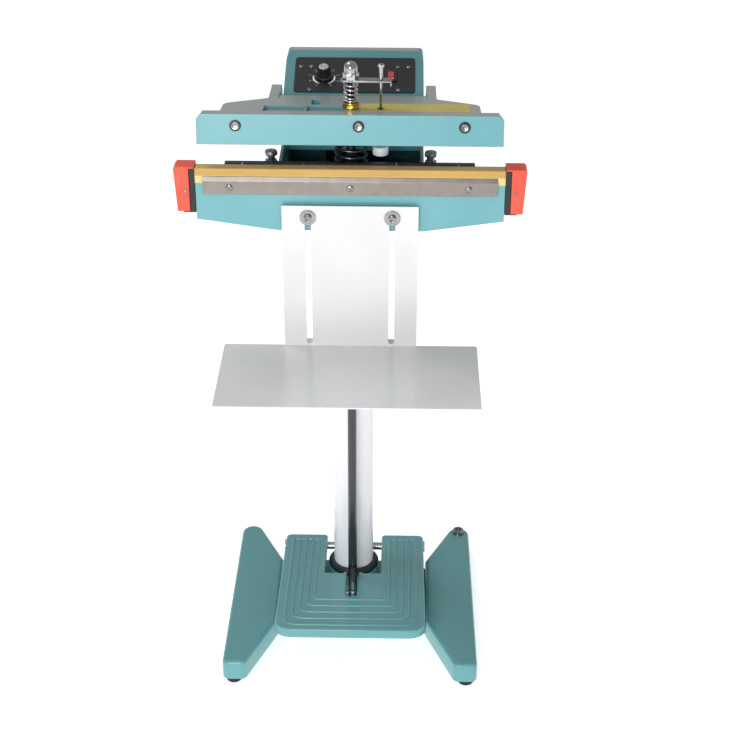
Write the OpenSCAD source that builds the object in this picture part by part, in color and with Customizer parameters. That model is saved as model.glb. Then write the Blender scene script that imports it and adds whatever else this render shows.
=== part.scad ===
// Foot-operated impulse heat sealer on a column stand.
// Front faces -Y, up is +Z, the floor is Z = 0. The jaws are drawn open and the pedal up.

/* [Jaws] */
// Length of the lower jaw casting
jaw_l = 400; // [380:2:420]
// Height of the sealing face above the floor
seal_z = 751.5; // [730:0.5:770]
// Depth of the sealing face, front to back
seal_d = 15; // [12:0.5:15]
// Length of the upper bar
bar_l = 391; // [371:2:401]
// Height of the upper bar
bar_h = 39; // [38:0.5:40]
// Opening angle of the upper arm
open_deg = 9.6; // [6:0.2:10]

/* [Head] */
// Width of the head casting behind the jaw
head_w = 191; // [185:1:195]
// Slope of the control panel
slope_deg = 18; // [14:1:20]
// Length of the sloping top
slope_l = 104; // [98:1:108]
// Distance from the column axis to the front of the sealing face
reach = 108; // [106:1:110]

/* [Stand] */
// Outer diameter of the column
column_d = 60; // [56:1:60]
// Diameter of the pull rod
rod_d = 13; // [10:1:13]
// Distance of the rod in front of the column axis
rod_y = 60; // [58:1:62]
// Height of the wing castings
wing_top = 41; // [38:1:44]

/* [Pedal] */
// Width of the pedal
pedal_w = 216; // [200:2:216]
// Length of the pedal in front of its shaft
pedal_l = 278; // [260:2:280]
// Angle of the raised pedal
pedal_tilt = 7.1; // [6:0.1:8]
// Number of raised foot ridges
ridge_count = 5; // [3:1:5]

/* [Table] */
// Width of the table top
table_w = 342; // [300:2:360]
// Depth of the table top
table_d = 168; // [150:2:180]
// Height of the table top
table_z = 499; // [495:1:520]

/* [Hidden] */
$fn = 48;
// Colours
teal = [0.49, 0.73, 0.76];
dark_teal = [0.39, 0.59, 0.61];
red = [0.93, 0.33, 0.25];
black = [0.09, 0.09, 0.10];
steel = [0.78, 0.78, 0.80];
dark_steel = [0.25, 0.26, 0.28];
brass = [0.82, 0.65, 0.25];
gold = [0.80, 0.63, 0.32];
white = [0.93, 0.93, 0.96];

// Base
foot_h = 10;
foot_r = 13;
foot_front = [168, -211];
foot_rear = [165, 104];
wing_cut_x = 111;
wing_wall = 5;
beam_top = 24;
wing_bolt_y = [-100, 5];
wing_bolt_z = 18;
set_screw_z = 44;
set_screw_turns = [35, 145];
hub_w = 56;
hub_top = 58;
collar_top = 67;
collar_r = 38;
pivot_y = 57;
pivot_z = 47;
shaft_r = 6;
clip_t = 2;
clip_gap = 0.3;
boss_x = 48;
boss_l = 56;
boss_r = 11;
bush_r = 8;
ridge_edge = 11;
ridge_side = 10;
ridge_toe = 18;
ridge_w = 4;
ridge_h = 2;
heel_y = -6;
fit = 0.05;

// Head, in the column's own axes
front_y = -reach;
beam_rear = -85;
body_top = 741.5;
body_low = 666;
end_low = 681;
wall = 4;
tray_floor = 672;
socket_low = 600;
socket_r = 37;
console_y = 57;
console_z = 791.7;
rear_y = console_y + slope_l * cos(slope_deg) + 16;
rear_top = console_z + slope_l * sin(slope_deg);
hinge_y = 75;
hinge_z = 780;
hinge_r = 6;
ear_in = 99;
ear_t = 13;
ear_r = 20;
lug_x = 104;
stop_top = 762;
stop_y = -70;
stop_flats = 15;
stop_r = 5;
console_r = 8;
rear_r = 3;
clamp_x = [-16, 16];
clamp_z = 625;
strip_screw_x = [-156, 0, 153];
strip_screw_z = 726.5;
strip_face = front_y - 3.4;
rear_strip_top = seal_z + 0.9;
rear_screw_x = [-140, -61, 59, 140];
rear_screw_y = -88;
terminal_x = jaw_l / 2 + 13;
cap_screw_z = 720.6;
cover_screw_x = [-86, 86];
cover_screw_z = [712, rear_top - 14];
inlet_x = -60;
inlet_z = 730;

// Upper arm, drawn with the jaws shut and then swung open
bar_d = 24;
pad_gap = 0.5;
pad_inset = 4.5;
bar_low = seal_z + 2.6;
arm_top = bar_low + bar_h;
arm_plate = 8;
bar_wall = 5;
bar_screw_x = [-145.6, 10.9, 145.7];
bar_screw_z = bar_low + 24.2;
seat_y = -rod_y - 2.4;
seat_h = 8;

// Rod
thread_r = 5;
rod_step = 796;
plate_low = 853;
plate_t = 3;
nut_z = plate_low + plate_t;
trip_x = 38.5;
fork_low = 34;
fork_top = 96;
pin_y = -rod_y - 1.6;
pin_z = 46;
pin_r = 3;

// Table
slot_x = 55;
screw_z = 687.5;
plate_front = front_y - 7.6;
plate_thick = 2;
plate_half = 89;
plate_top = 703.5;
boss_h = 5.3;

table_front = plate_front + plate_thick - table_d;
inlet_out = 13.5;
// The column axis lies behind the middle of the overall depth.
column_y = (-table_front - rear_y - inlet_out) / 2;

// Control panel, measured up the slope from the console's front edge
panel_w = 166;
panel_low = 7;
panel_high = 85;
panel_t = 1.5;
knob_x = -41.5;
knob_u = 39;
knob_h = 18.5;
knob_r = 10.5;
rocker_x = 50.5;
rocker_u = 43;
panel_screws = [[-74, 63.5], [-59.5, 63.5], [60, 63.5], [75, 63.5], [-60, 12], [61, 12]];

// Places ---------------------------------------------------------------------------------------

// The column's axis as the origin
module stand() {
    translate([0, column_y, 0]) children();
}

// Swings a part of the upper arm from shut to open
module opened() {
    translate([0, column_y + hinge_y, hinge_z])
        rotate([-open_deg, 0, 0])
            translate([0, -hinge_y, -hinge_z]) children();
}

// Tilts a pedal part about the pedal shaft
module raised() {
    translate([0, column_y + pivot_y, pivot_z])
        rotate([-pedal_tilt, 0, 0]) children();
}

// On the console's slope in the column's axes, x across and u up from its front edge
module on_console(x, u) {
    translate([x, console_y + u * cos(slope_deg), console_z + u * sin(slope_deg)])
        rotate([slope_deg, 0, 0]) children();
}

module on_slope(x, u) {
    stand() on_console(x, u) children();
}

// Shapes ---------------------------------------------------------------------------------------

// A box centred on x and y that stands on z = 0
module block(w, d, h) {
    translate([-w / 2, -d / 2, 0]) cube([w, d, h]);
}

// A box given by its two corners
module span(low, high) {
    translate(low) cube(high - low);
}

// A flat outline with rounded corners
module round_rect(w, d, r) {
    square([w - 2 * r, d], center = true);
    square([w, d - 2 * r], center = true);
    for (x = [-1, 1])
        for (y = [-1, 1])
            translate([x * (w / 2 - r), y * (d / 2 - r)]) circle(r);
}

// A cylinder that lies along x
module bar_x(r, x0, x1) {
    translate([x0, 0, 0]) rotate([0, 90, 0]) cylinder(r = r, h = x1 - x0);
}

// A cylinder that points forward from y = 0
module bar_y(r, h) {
    rotate([90, 0, 0]) cylinder(r = r, h = h);
}

// A hexagon nut or bolt head
module hexagon(flats, h) {
    cylinder(d = flats / cos(30), h = h, $fn = 6);
}

// A socket cap screw that points down from its seat at z = 0
module socket_screw(r, head_r, head_h, length) {
    difference() {
        union() {
            cylinder(r = head_r, h = head_h);
            translate([0, 0, -length]) cylinder(r = r, h = length);
        }
        translate([0, 0, head_h * 0.45]) hexagon(head_r, head_h);
    }
}

// A crosshead pan screw that points down from its seat at z = 0
module pan_screw(r, head_r, head_h, length) {
    difference() {
        union() {
            cylinder(r1 = head_r, r2 = head_r * 0.8, h = head_h, $fn = 48);
            translate([0, 0, -length]) cylinder(r = r, h = length);
        }
        for (a = [0, 90])
            rotate([0, 0, a])
                translate([0, 0, head_h]) cube([head_r * 1.1, head_r * 0.25, head_h], center = true);
    }
}

// One open coil that stands on z = 0
module coil(r, wire_r, pitch, turns, sides = 8, steps = 20) {
    count = round(turns * steps);
    lean = atan(pitch / (2 * PI * r));
    points = [for (i = [0:count]) let (a = 360 * i / steps)
        for (j = [0:sides - 1]) let (b = 360 * j / sides)
            [(r + wire_r * cos(b)) * cos(a) + wire_r * sin(b) * sin(lean) * sin(a),
             (r + wire_r * cos(b)) * sin(a) - wire_r * sin(b) * sin(lean) * cos(a),
             wire_r + pitch * i / steps + wire_r * sin(b) * cos(lean)]];
    skin = [for (i = [0:count - 1])
        for (j = [0:sides - 1]) let (k = (j + 1) % sides)
            [i * sides + j, (i + 1) * sides + j, (i + 1) * sides + k, i * sides + k]];
    first = [for (j = [0:sides - 1]) j];
    last = [for (j = [sides - 1:-1:0]) count * sides + j];
    polyhedron(points, concat(skin, [first, last]));
}

// Base -----------------------------------------------------------------------------------------

// Plan of the right wing casting, drawn in by the inset
module wing_plan(inset) {
    hull() {
        translate(foot_rear) circle(17 - inset, $fn = 32);
        for (x = [157.5, 174])
            translate([x, -216.5]) circle(9.5 - inset, $fn = 32);
        translate([wing_cut_x + inset, -130 + inset]) square([20, 165 - 2 * inset]);
    }
}

module wing(side) {
    mirror([side < 0 ? 1 : 0, 0, 0]) {
        difference() {
            translate([0, 0, foot_h]) linear_extrude(wing_top - foot_h) wing_plan(0);
            translate([0, 0, foot_h - 1]) linear_extrude(wing_top - foot_h - wing_wall + 1)
                wing_plan(wing_wall);
            for (y = wing_bolt_y)
                translate([0, y, wing_bolt_z]) bar_x(5, wing_cut_x - 1, wing_cut_x + wing_wall + 1);
            if (side > 0)
                translate([foot_rear.x, foot_rear.y, 0]) cylinder(r = 4, h = wing_top + 1);
        }
        for (p = [foot_front, foot_rear])
            translate([p.x, p.y, foot_h]) difference() {
                cylinder(r = 9, h = wing_top - foot_h - wing_wall);
                translate([0, 0, -1]) cylinder(r = 4, h = 60);
            }
    }
}

module left_wing() {
    color(dark_teal) stand() wing(-1);
}

module right_wing() {
    color(dark_teal) stand() wing(1);
}

module base_beam() {
    color(dark_teal) stand() difference() {
        union() {
            translate([0, 0, foot_h]) linear_extrude(beam_top - foot_h)
                polygon([[-wing_cut_x, -118], [-45, -72], [45, -72], [wing_cut_x, -118],
                         [wing_cut_x, 30], [60, 50], [-60, 50], [-wing_cut_x, 30]]);
            translate([0, 35, foot_h]) block(hub_w, 70, hub_top - foot_h);
            translate([0, 0, foot_h]) cylinder(r = collar_r, h = hub_top - foot_h);
        }
        translate([0, 0, 20]) cylinder(d = column_d + 2 * fit, h = 60);
        // Well for the rod's fork and the pedal's lugs
        translate([0, -64, foot_h - 1]) linear_extrude(60) round_rect(44, 48, 6);
        translate([0, pivot_y, pivot_z]) bar_x(shaft_r + fit, -60, 60);
        for (x = [-wing_cut_x, wing_cut_x - 20])
            for (y = wing_bolt_y)
                translate([x, y, wing_bolt_z]) bar_x(4, -1, 21);
        for (a = set_screw_turns)
            translate([0, 0, set_screw_z]) rotate([0, 0, a]) bar_x(4, 0, 80);
    }
}

module wing_bolts() {
    color(dark_steel) stand()
        for (side = [0, 1])
            mirror([side, 0, 0])
                for (y = wing_bolt_y)
                    translate([wing_cut_x + wing_wall, y, wing_bolt_z]) rotate([0, 90, 0])
                        socket_screw(4, 7, 8, wing_wall + 19);
}

module rubber_feet() {
    color(black) stand()
        for (side = [0, 1])
            mirror([side, 0, 0])
                for (p = [foot_front, foot_rear])
                    translate([p.x, p.y, 0]) difference() {
                        cylinder(r1 = foot_r - 2, r2 = foot_r, h = foot_h, $fn = 48);
                        translate([0, 0, foot_h - 4]) cylinder(r = 4, h = 5);
                    }
}

module levelling_bolt() {
    color(steel) stand()
        translate([foot_rear.x, foot_rear.y, wing_top]) {
            translate([0, 0, 1.5]) socket_screw(4 - fit, 8, 5.5, wing_top - foot_h + 5.5);
            difference() {
                cylinder(r = 9.5, h = 1.5);
                translate([0, 0, -1]) cylinder(r = 4, h = 4);
            }
        }
}

module column() {
    color(white) stand() translate([0, 0, 20]) difference() {
        cylinder(d = column_d, h = 690 - 20);
        translate([0, 0, -1]) cylinder(d = column_d - 5, h = 700);
    }
}

module column_collar() {
    color(black) stand() translate([0, 0, hub_top]) difference() {
        union() {
            cylinder(r = collar_r, h = 4);
            translate([0, 0, 4]) cylinder(r1 = collar_r, r2 = collar_r - 4, h = 5, $fn = 64);
        }
        translate([0, 0, -1]) cylinder(d = column_d + 2 * fit, h = 12);
    }
}

module column_screws() {
    color(dark_steel) stand() {
        for (a = set_screw_turns)
            translate([0, 0, set_screw_z]) rotate([0, 0, a]) rotate([0, 90, 0])
                translate([0, 0, column_d / 2 + 0.1]) difference() {
                    cylinder(r = 4, h = 12);
                    translate([0, 0, 8]) hexagon(4, 6);
                }
        for (x = clamp_x)
            translate([x, socket_r + 9, clamp_z]) rotate([-90, 0, 0]) socket_screw(4, 6.5, 8, 12);
    }
}

module pedal_shaft() {
    color(steel) stand() translate([0, pivot_y, pivot_z]) {
        end = pedal_w / 2 + clip_gap + clip_t;
        bar_x(shaft_r, -end, end);
        for (x = [-end, end - clip_t])
            bar_x(bush_r + 1, x, x + clip_t);
    }
}

// Head -----------------------------------------------------------------------------------------

module jaw_front_outline() {
    polygon([[-jaw_l / 2, end_low], [-96, body_low], [96, body_low], [jaw_l / 2, end_low],
             [jaw_l / 2, body_top], [-jaw_l / 2, body_top]]);
}

module head_side() {
    polygon([[beam_rear - 1, body_low], [rear_y - 45, body_low], [rear_y, 700],
             [rear_y, rear_top - rear_r], [rear_y - rear_r, rear_top],
             [console_y + slope_l * cos(slope_deg), rear_top], [console_y, console_z],
             [console_y, body_top], [beam_rear - 1, body_top]]);
    translate([rear_y - rear_r, rear_top - rear_r]) circle(rear_r);
}

// The console from the front, with its top corners rounded
module console_front() {
    w = head_w / 2;
    translate([-w, body_low]) square([head_w, rear_top - console_r - body_low]);
    translate([console_r - w, body_low]) square([head_w - 2 * console_r, rear_top - body_low]);
    for (x = [console_r - w, w - console_r])
        translate([x, rear_top - console_r]) circle(console_r);
}

module head_inner() {
    polygon([[beam_rear, tray_floor], [rear_y - 45, tray_floor], [rear_y + 1, 704],
             [rear_y + 1, rear_top - 8], [rear_y - 14, rear_top - 4],
             [console_y + wall, console_z - 4], [console_y + wall, tray_floor + 43],
             [console_y - 4, tray_floor + 43], [console_y - 4, body_top + 1],
             [beam_rear, body_top + 1]]);
}

// Extrudes a side outline (y, z) along x, centred
module along_x(w) {
    translate([-w / 2, 0, 0]) rotate([90, 0, 90]) linear_extrude(w) children();
}

module jaw_body() {
    color(teal) stand() difference() {
        union() {
            difference() {
                union() {
                    translate([0, beam_rear, 0]) rotate([90, 0, 0])
                        linear_extrude(beam_rear - front_y) jaw_front_outline();
                    intersection() {
                        along_x(head_w) head_side();
                        translate([0, rear_y, 0]) rotate([90, 0, 0])
                            linear_extrude(rear_y - beam_rear + 1) console_front();
                    }
                }
                along_x(head_w - 2 * wall) head_inner();
                // Hollow back of each jaw wing
                for (s = [-1, 1])
                    translate([s * 148, beam_rear - 3, 700]) block(92, 24, 36);
            }
            translate([0, 0, socket_low]) cylinder(r = socket_r, h = 700 - socket_low);
            span([-25, socket_r - 8, socket_low], [25, socket_r + 9, body_low + 2]);
            translate([0, -rod_y, tray_floor - 2]) cylinder(r = 24, h = 20);
            for (s = [-1, 1])
                translate([s * (lug_x + 1), stop_y - 1, 728]) block(22, 30, body_top - 728);
            for (s = [-1, 1])
                translate([s * slot_x, front_y + 1, screw_z]) bar_y(10, boss_h + 1);
        }
        translate([0, 0, socket_low - 1]) cylinder(d = column_d + 2 * fit, h = 102);
        span([-3, socket_r - 12, socket_low - 1], [3, socket_r + 20, body_low - 5]);
        for (x = clamp_x)
            translate([x, socket_r + 12, clamp_z]) bar_y(4, 16);
        translate([0, -rod_y, 640]) cylinder(r = rod_d / 2 + 0.6, h = 80);
        translate([0, hinge_y, hinge_z]) bar_x(hinge_r, -head_w, head_w);
        for (s = [-1, 1])
            translate([s * lug_x, stop_y, 720]) cylinder(r = stop_r, h = 40);
        for (s = [-1, 1])
            translate([s * slot_x, front_y + 12, screw_z]) bar_y(3, 30);
        for (x = strip_screw_x)
            translate([x, front_y + 12, strip_screw_z]) bar_y(2.5, 30);
        for (x = rear_screw_x)
            translate([x, rear_screw_y, body_top - 6]) cylinder(r = 1.5, h = 10);
        // Window under the control panel, and the panel's screw holes
        on_console(0, 40) translate([0, 0, -20]) block(116, 40, 40);
        for (p = panel_screws)
            on_console(p.x, p.y) translate([0, 0, -10]) cylinder(r = 1.5, h = 20);
    }
}

module heater_bar() {
    color(steel) stand()
        span([-jaw_l / 2, front_y + 0.3, body_top], [jaw_l / 2, front_y + seal_d, seal_z - 0.9]);
}

module underlay_tape() {
    color(white) stand()
        span([-jaw_l / 2 + 2, front_y + 2, seal_z - 0.9], [jaw_l / 2 - 2, front_y + seal_d - 2, seal_z - 0.6]);
}

module heating_ribbon() {
    color(steel) stand()
        span([-jaw_l / 2 - 5, front_y + 10, seal_z - 0.6], [jaw_l / 2 + 5, front_y + 13, seal_z - 0.4]);
}

module cover_cloth() {
    color(gold) stand() {
        span([-jaw_l / 2 - 0.4, front_y, seal_z - 0.3], [jaw_l / 2 + 0.4, front_y + seal_d, seal_z]);
        span([-jaw_l / 2 - 0.4, front_y - 0.5, body_top - 6.5], [jaw_l / 2 + 0.4, front_y, seal_z]);
        for (s = [-1, 1])
            span([s > 0 ? jaw_l / 2 - 9 : -jaw_l / 2 - 0.4, front_y - 0.5, 731],
                 [s > 0 ? jaw_l / 2 + 0.4 : -jaw_l / 2 + 9, front_y, body_top - 6]);
    }
}

module clamp_strip() {
    color(steel) stand() difference() {
        along_x(380.5) polygon([[front_y, 717], [strip_face, 717], [strip_face, 735.2],
            [front_y - 0.6, 741], [front_y - 0.6, 739], [strip_face + 1.3, 734.6],
            [strip_face + 1.3, 718.3], [front_y, 718.3]]);
        for (x = strip_screw_x)
            translate([x, front_y, strip_screw_z]) bar_y(2.5, 20);
    }
}

module strip_screws() {
    color(steel) stand() {
        for (x = strip_screw_x)
            translate([x, strip_face, strip_screw_z]) rotate([90, 0, 0]) pan_screw(2.5, 4.6, 1.9, 12);
        for (x = rear_screw_x)
            translate([x, rear_screw_y, rear_strip_top - 2]) pan_screw(1.5, 3, 1.6, 14);
    }
}

module rear_strip() {
    color(black) stand() difference() {
        span([-163, front_y + seal_d + 2, body_top], [161, beam_rear + 2, rear_strip_top]);
        for (x = rear_screw_x)
            translate([x, rear_screw_y, 0]) {
                translate([0, 0, body_top - 1]) cylinder(r = 1.5, h = 20);
                translate([0, 0, rear_strip_top - 2]) cylinder(r = 3.2, h = 3);
            }
    }
}

module end_insulators() {
    color(black) stand()
        for (side = [0, 1])
            mirror([side, 0, 0]) {
                span([jaw_l / 2 + 0.6, front_y, 690], [jaw_l / 2 + 8, beam_rear, seal_z - 1]);
                span([jaw_l / 2 + 8, front_y, 690], [jaw_l / 2 + 16.5, beam_rear, 692]);
            }
}

module terminal_blocks() {
    color(brass) stand()
        for (side = [0, 1])
            mirror([side, 0, 0]) {
                span([jaw_l / 2 + 8, front_y + 4, 712], [jaw_l / 2 + 18, front_y + 14, seal_z - 10]);
                translate([terminal_x, front_y + 9, seal_z - 10]) cylinder(r = 3, h = 5);
            }
}

module end_cap() {
    x0 = jaw_l / 2 + 8.2;
    difference() {
        union() {
            translate([0, beam_rear, 0]) rotate([90, 0, 0]) linear_extrude(beam_rear - front_y + 2.5)
                polygon([[x0, seal_z + 2], [jaw_l / 2 + 25, seal_z + 2], [jaw_l / 2 + 27.5, seal_z - 0.5],
                         [jaw_l / 2 + 24, 692.5], [x0, 692.5]]);
            span([jaw_l / 2 + 0.8, front_y - 2.5, seal_z + 0.3], [x0 + 1, beam_rear, seal_z + 2]);
        }
        translate([0, beam_rear - 2, 0]) rotate([90, 0, 0]) linear_extrude(beam_rear - front_y - 2)
            polygon([[x0 - 1, seal_z], [jaw_l / 2 + 25, seal_z - 1], [jaw_l / 2 + 22, 691], [x0 - 1, 691]]);
        translate([terminal_x, front_y + 1, cap_screw_z]) bar_y(1.6, 10);
    }
}

module left_cap() {
    color(red) stand() mirror([1, 0, 0]) end_cap();
}

module right_cap() {
    color(red) stand() end_cap();
}

module cap_screws() {
    color(steel) stand()
        for (side = [0, 1])
            mirror([side, 0, 0])
                translate([terminal_x, front_y - 2.5, cap_screw_z]) rotate([90, 0, 0])
                    pan_screw(1.6, 2.4, 1.2, 6);
}

module hinge_shaft() {
    color(steel) stand() translate([0, hinge_y, hinge_z]) bar_x(hinge_r, -ear_in - ear_t, ear_in + ear_t);
}

module stop_bolts() {
    color(dark_steel) stand()
        for (s = [-1, 1])
            translate([s * lug_x, stop_y, 0]) {
                translate([0, 0, stop_top - 6]) hexagon(stop_flats, 6);
                translate([0, 0, 722]) cylinder(r = stop_r, h = stop_top - 6 - 722);
                translate([0, 0, body_top]) difference() {
                    hexagon(stop_flats, 8);
                    translate([0, 0, -1]) cylinder(r = stop_r, h = 10);
                }
            }
}

module return_spring() {
    color(dark_steel) stand()
        translate([0, -rod_y, tray_floor + 18]) coil(20.2, 2, 9, 11.9);
}

module control_panel() {
    color(black) on_slope(0.8, (panel_low + panel_high) / 2) difference() {
        linear_extrude(panel_t) round_rect(panel_w, panel_high - panel_low, 5);
        translate([knob_x - 0.8, knob_u - (panel_low + panel_high) / 2, -1]) cylinder(r = 4.5, h = 4);
        translate([rocker_x - 0.8, rocker_u - (panel_low + panel_high) / 2, -1]) block(12, 22, 4);
        for (p = panel_screws)
            translate([p.x - 0.8, p.y - (panel_low + panel_high) / 2, -1]) cylinder(r = 1.5, h = 4);
    }
}

module panel_screws() {
    color(steel)
        for (p = panel_screws)
            on_slope(p.x, p.y) translate([0, 0, panel_t]) pan_screw(1.5, 3, 1.5, 7);
}

module switch_bezel() {
    color(black) on_slope(rocker_x, rocker_u) difference() {
        union() {
            translate([0, 0, panel_t]) linear_extrude(2) round_rect(16, 26, 2);
            translate([0, 0, -14]) block(12, 22, 14 + panel_t);
        }
        translate([0, 0, -6]) block(8.4, 18.4, 20);
    }
}

module rear_cover() {
    color(dark_steel) stand() difference() {
        span([-head_w / 2 + 2, rear_y, 702], [head_w / 2 - 2, rear_y + 1.5, rear_top - 4]);
        translate([inlet_x, rear_y + 3, inlet_z]) bar_y(7 + fit, 6);
        for (x = cover_screw_x)
            for (z = cover_screw_z)
                translate([x, rear_y + 3, z]) bar_y(1.6, 6);
        for (z = [745:8:785])
            span([-30, rear_y - 1, z], [50, rear_y + 3, z + 3]);
    }
}

module cover_screws() {
    color(steel) stand()
        for (x = cover_screw_x)
            for (z = cover_screw_z)
                translate([x, rear_y + 1.5, z]) rotate([-90, 0, 0]) pan_screw(1.6, 3.2, 1.8, 5);
}

module transformer() {
    color(dark_steel) stand() {
        span([-40, 86, tray_floor], [40, rear_y - 46, tray_floor + 66]);
        span([-26, 76, tray_floor + 12], [26, 86, tray_floor + 54]);
    }
}

module timer_board() {
    color([0.1, 0.35, 0.2]) stand() {
        span([-84, 84, 712], [-82.4, rear_y - 40, 768]);
        for (y = [92, 108, 122])
            translate([-82.4, y, 735]) rotate([0, 90, 0]) cylinder(r = 4.5, h = 12);
    }
}

module potentiometer() {
    color(steel) on_slope(knob_x, knob_u) {
        translate([0, 0, -15]) cylinder(r = 8, h = 11);
        translate([0, 0, -4]) cylinder(r = 4, h = 4 + panel_t);
        translate([0, 0, panel_t]) cylinder(r = 3, h = 9);
    }
}

module microswitch() {
    color(black) stand() {
        span([trip_x - 14, -72, tray_floor], [trip_x + 14, -50, 712]);
        translate([trip_x, -rod_y, 712]) cylinder(r = 3, h = 6);
    }
}

module cord_inlet() {
    color(black) stand() translate([inlet_x, rear_y + 1.5, inlet_z]) rotate([-90, 0, 0]) difference() {
        union() {
            cylinder(r = 10, h = 4);
            translate([0, 0, -5]) cylinder(r = 7, h = 5);
            translate([0, 0, 4]) hexagon(15, 8);
        }
        translate([0, 0, -6]) cylinder(r = 4, h = 20);
    }
}

module table_screws() {
    color(dark_steel) stand()
        for (s = [-1, 1])
            translate([s * slot_x, plate_front - 0.3, screw_z]) rotate([90, 0, 0]) {
                difference() {
                    cylinder(r = 10.4, h = 2);
                    translate([0, 0, -1]) cylinder(r = 3, h = 4);
                }
                translate([0, 0, 2]) socket_screw(3, 5, 4.5, 18);
            }
}

// Upper arm ------------------------------------------------------------------------------------

module arm_plan() {
    polygon([[-167, front_y + 20], [-167.5, -37], [-163, -27], [-115, 8], [-ear_in - ear_t, 12],
             [-ear_in - ear_t, 32], [ear_in + ear_t, 32], [ear_in + ear_t, 12], [115, 8],
             [163, -27], [167.5, -37], [167, front_y + 20]]);
}

module ear_outline() {
    hull() {
        translate([hinge_y, hinge_z]) circle(ear_r, $fn = 32);
        translate([6, arm_top - 24]) square([20, 24]);
    }
    polygon([[front_y + 20, arm_top - 8], [10, arm_top - 8], [10, arm_top - 24], [front_y + 20, 764]]);
}

module upper_arm() {
    color(teal) opened() difference() {
        union() {
            // Bar, with its end corners cut
            translate([0, front_y + bar_d, 0]) rotate([90, 0, 0]) linear_extrude(bar_d)
                polygon([[-bar_l / 2, bar_low], [bar_l / 2, bar_low], [bar_l / 2, arm_top - 7],
                         [bar_l / 2 - 6, arm_top], [-bar_l / 2 + 6, arm_top], [-bar_l / 2, arm_top - 7]]);
            translate([0, 0, arm_top - arm_plate]) linear_extrude(arm_plate) arm_plan();
            for (s = [-1, 1])
                translate([s * (ear_in + ear_t / 2), 0, 0]) along_x(ear_t) ear_outline();
        }
        // Channel for the pad holder
        span([-bar_l / 2 + 6, front_y + bar_wall, bar_low - 1],
             [bar_l / 2 - 6, front_y + bar_d - bar_wall, arm_top - 6]);
        // Shallow pocket with a dividing rib
        span([-57, -84, arm_top - 5.5], [-7, -45, arm_top + 1]);
        span([-113, -84, arm_top - 5.5], [-59, -45, arm_top + 1]);
        span([-53, -36, arm_top - 20], [-41, 3, arm_top + 1]);
        // Clearance for the rod and the trip pin
        translate([0, seat_y, arm_top - 20]) linear_extrude(30) round_rect(15, 22, 7.4);
        translate([trip_x, -rod_y - 2, arm_top - 20]) linear_extrude(30) round_rect(8, 18, 3.9);
        translate([0, hinge_y, hinge_z]) bar_x(9, -150, 150);
        for (x = bar_screw_x)
            translate([x, front_y + bar_wall + 1, bar_screw_z]) bar_y(3, 12);
    }
}

module pad_holder() {
    color(steel) opened() difference() {
        span([-bar_l / 2 + 7, front_y + bar_wall + 0.2, bar_low + 1],
             [bar_l / 2 - 7, front_y + bar_d - bar_wall - 0.2, arm_top - 6.2]);
        span([-bar_l / 2, front_y + bar_wall + pad_inset, bar_low - 1],
             [bar_l / 2, front_y + bar_d - bar_wall - pad_inset, bar_low + 7]);
        for (x = bar_screw_x)
            translate([x, front_y + bar_wall + 12, bar_screw_z]) bar_y(3, 20);
    }
}

module silicone_pad() {
    color([0.75, 0.3, 0.2]) opened()
        span([-bar_l / 2 + 8, front_y + bar_wall + pad_inset, seal_z + pad_gap],
             [bar_l / 2 - 8, front_y + bar_d - bar_wall - pad_inset, bar_low + 7]);
}

module screw_rings() {
    color(black) opened()
        for (x = bar_screw_x)
            translate([x, front_y, bar_screw_z]) rotate([90, 0, 0]) difference() {
                cylinder(r = 7.4, h = 1.2);
                translate([0, 0, -1]) cylinder(r = 5.3, h = 4);
            }
}

module bar_screws() {
    color(steel) opened()
        for (x = bar_screw_x)
            translate([x, front_y, bar_screw_z]) rotate([90, 0, 0]) socket_screw(3, 5, 3, 14);
}

module label_strip() {
    color([0.8, 0.75, 0.37]) opened() difference() {
        span([12, -82, arm_top], [154, -26, arm_top + 0.4]);
        translate([trip_x, -rod_y - 2, arm_top - 1]) linear_extrude(3) round_rect(10, 20, 4);
    }
}

module spring_seat() {
    color(brass) opened() translate([0, seat_y, arm_top]) difference() {
        cylinder(r = 10.6, h = seat_h);
        translate([0, 0, -1]) cylinder(r = 9.85, h = seat_h + 2);
    }
}

module hinge_bushes() {
    color(brass) opened() translate([0, hinge_y, hinge_z])
        for (side = [0, 1])
            mirror([side, 0, 0]) difference() {
                bar_x(9, ear_in - 0.5, ear_in + ear_t);
                bar_x(hinge_r + fit, ear_in - 5, ear_in + ear_t + 5);
            }
}

// Rod ------------------------------------------------------------------------------------------

module pull_rod() {
    color(black) stand() translate([0, -rod_y, 0]) {
        translate([0, 0, fork_top - 12]) cylinder(d = rod_d, h = rod_step - fork_top + 12);
        translate([0, 0, rod_step]) cylinder(r = thread_r, h = nut_z + 12 - rod_step);
    }
}

module rod_fork() {
    color(dark_steel) stand() translate([0, -rod_y, 0]) difference() {
        translate([0, 0, fork_low]) linear_extrude(fork_top - fork_low) round_rect(13, 17, 3);
        translate([0, 0, fork_low - 1]) block(4, 30, 36);
        translate([0, 0, fork_top - 12]) cylinder(d = rod_d, h = 20);
        for (y = [-2.6, 2.6])
            translate([0, y, pin_z]) bar_x(pin_r + 0.8, -20, 20);
        span([-20, -2.6, pin_z - pin_r - 0.8], [20, 2.6, pin_z + pin_r + 0.8]);
    }
}

module pressure_spring() {
    color(steel) stand() translate([0, -rod_y, 826]) coil(8.1, 1.45, 5.2, 4.63, 8, 20);
}

module trip_plate() {
    color(steel) stand() difference() {
        union() {
            span([-14, -rod_y - 7, plate_low], [52.6, -rod_y + 7, nut_z]);
            span([50.1, -rod_y - 7, plate_low - 5], [52.6, -rod_y + 7, plate_low]);
        }
        translate([0, -rod_y, plate_low - 1]) cylinder(r = thread_r, h = 8);
        translate([trip_x, -rod_y, plate_low - 1]) cylinder(r = 2, h = 8);
    }
}

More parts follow.
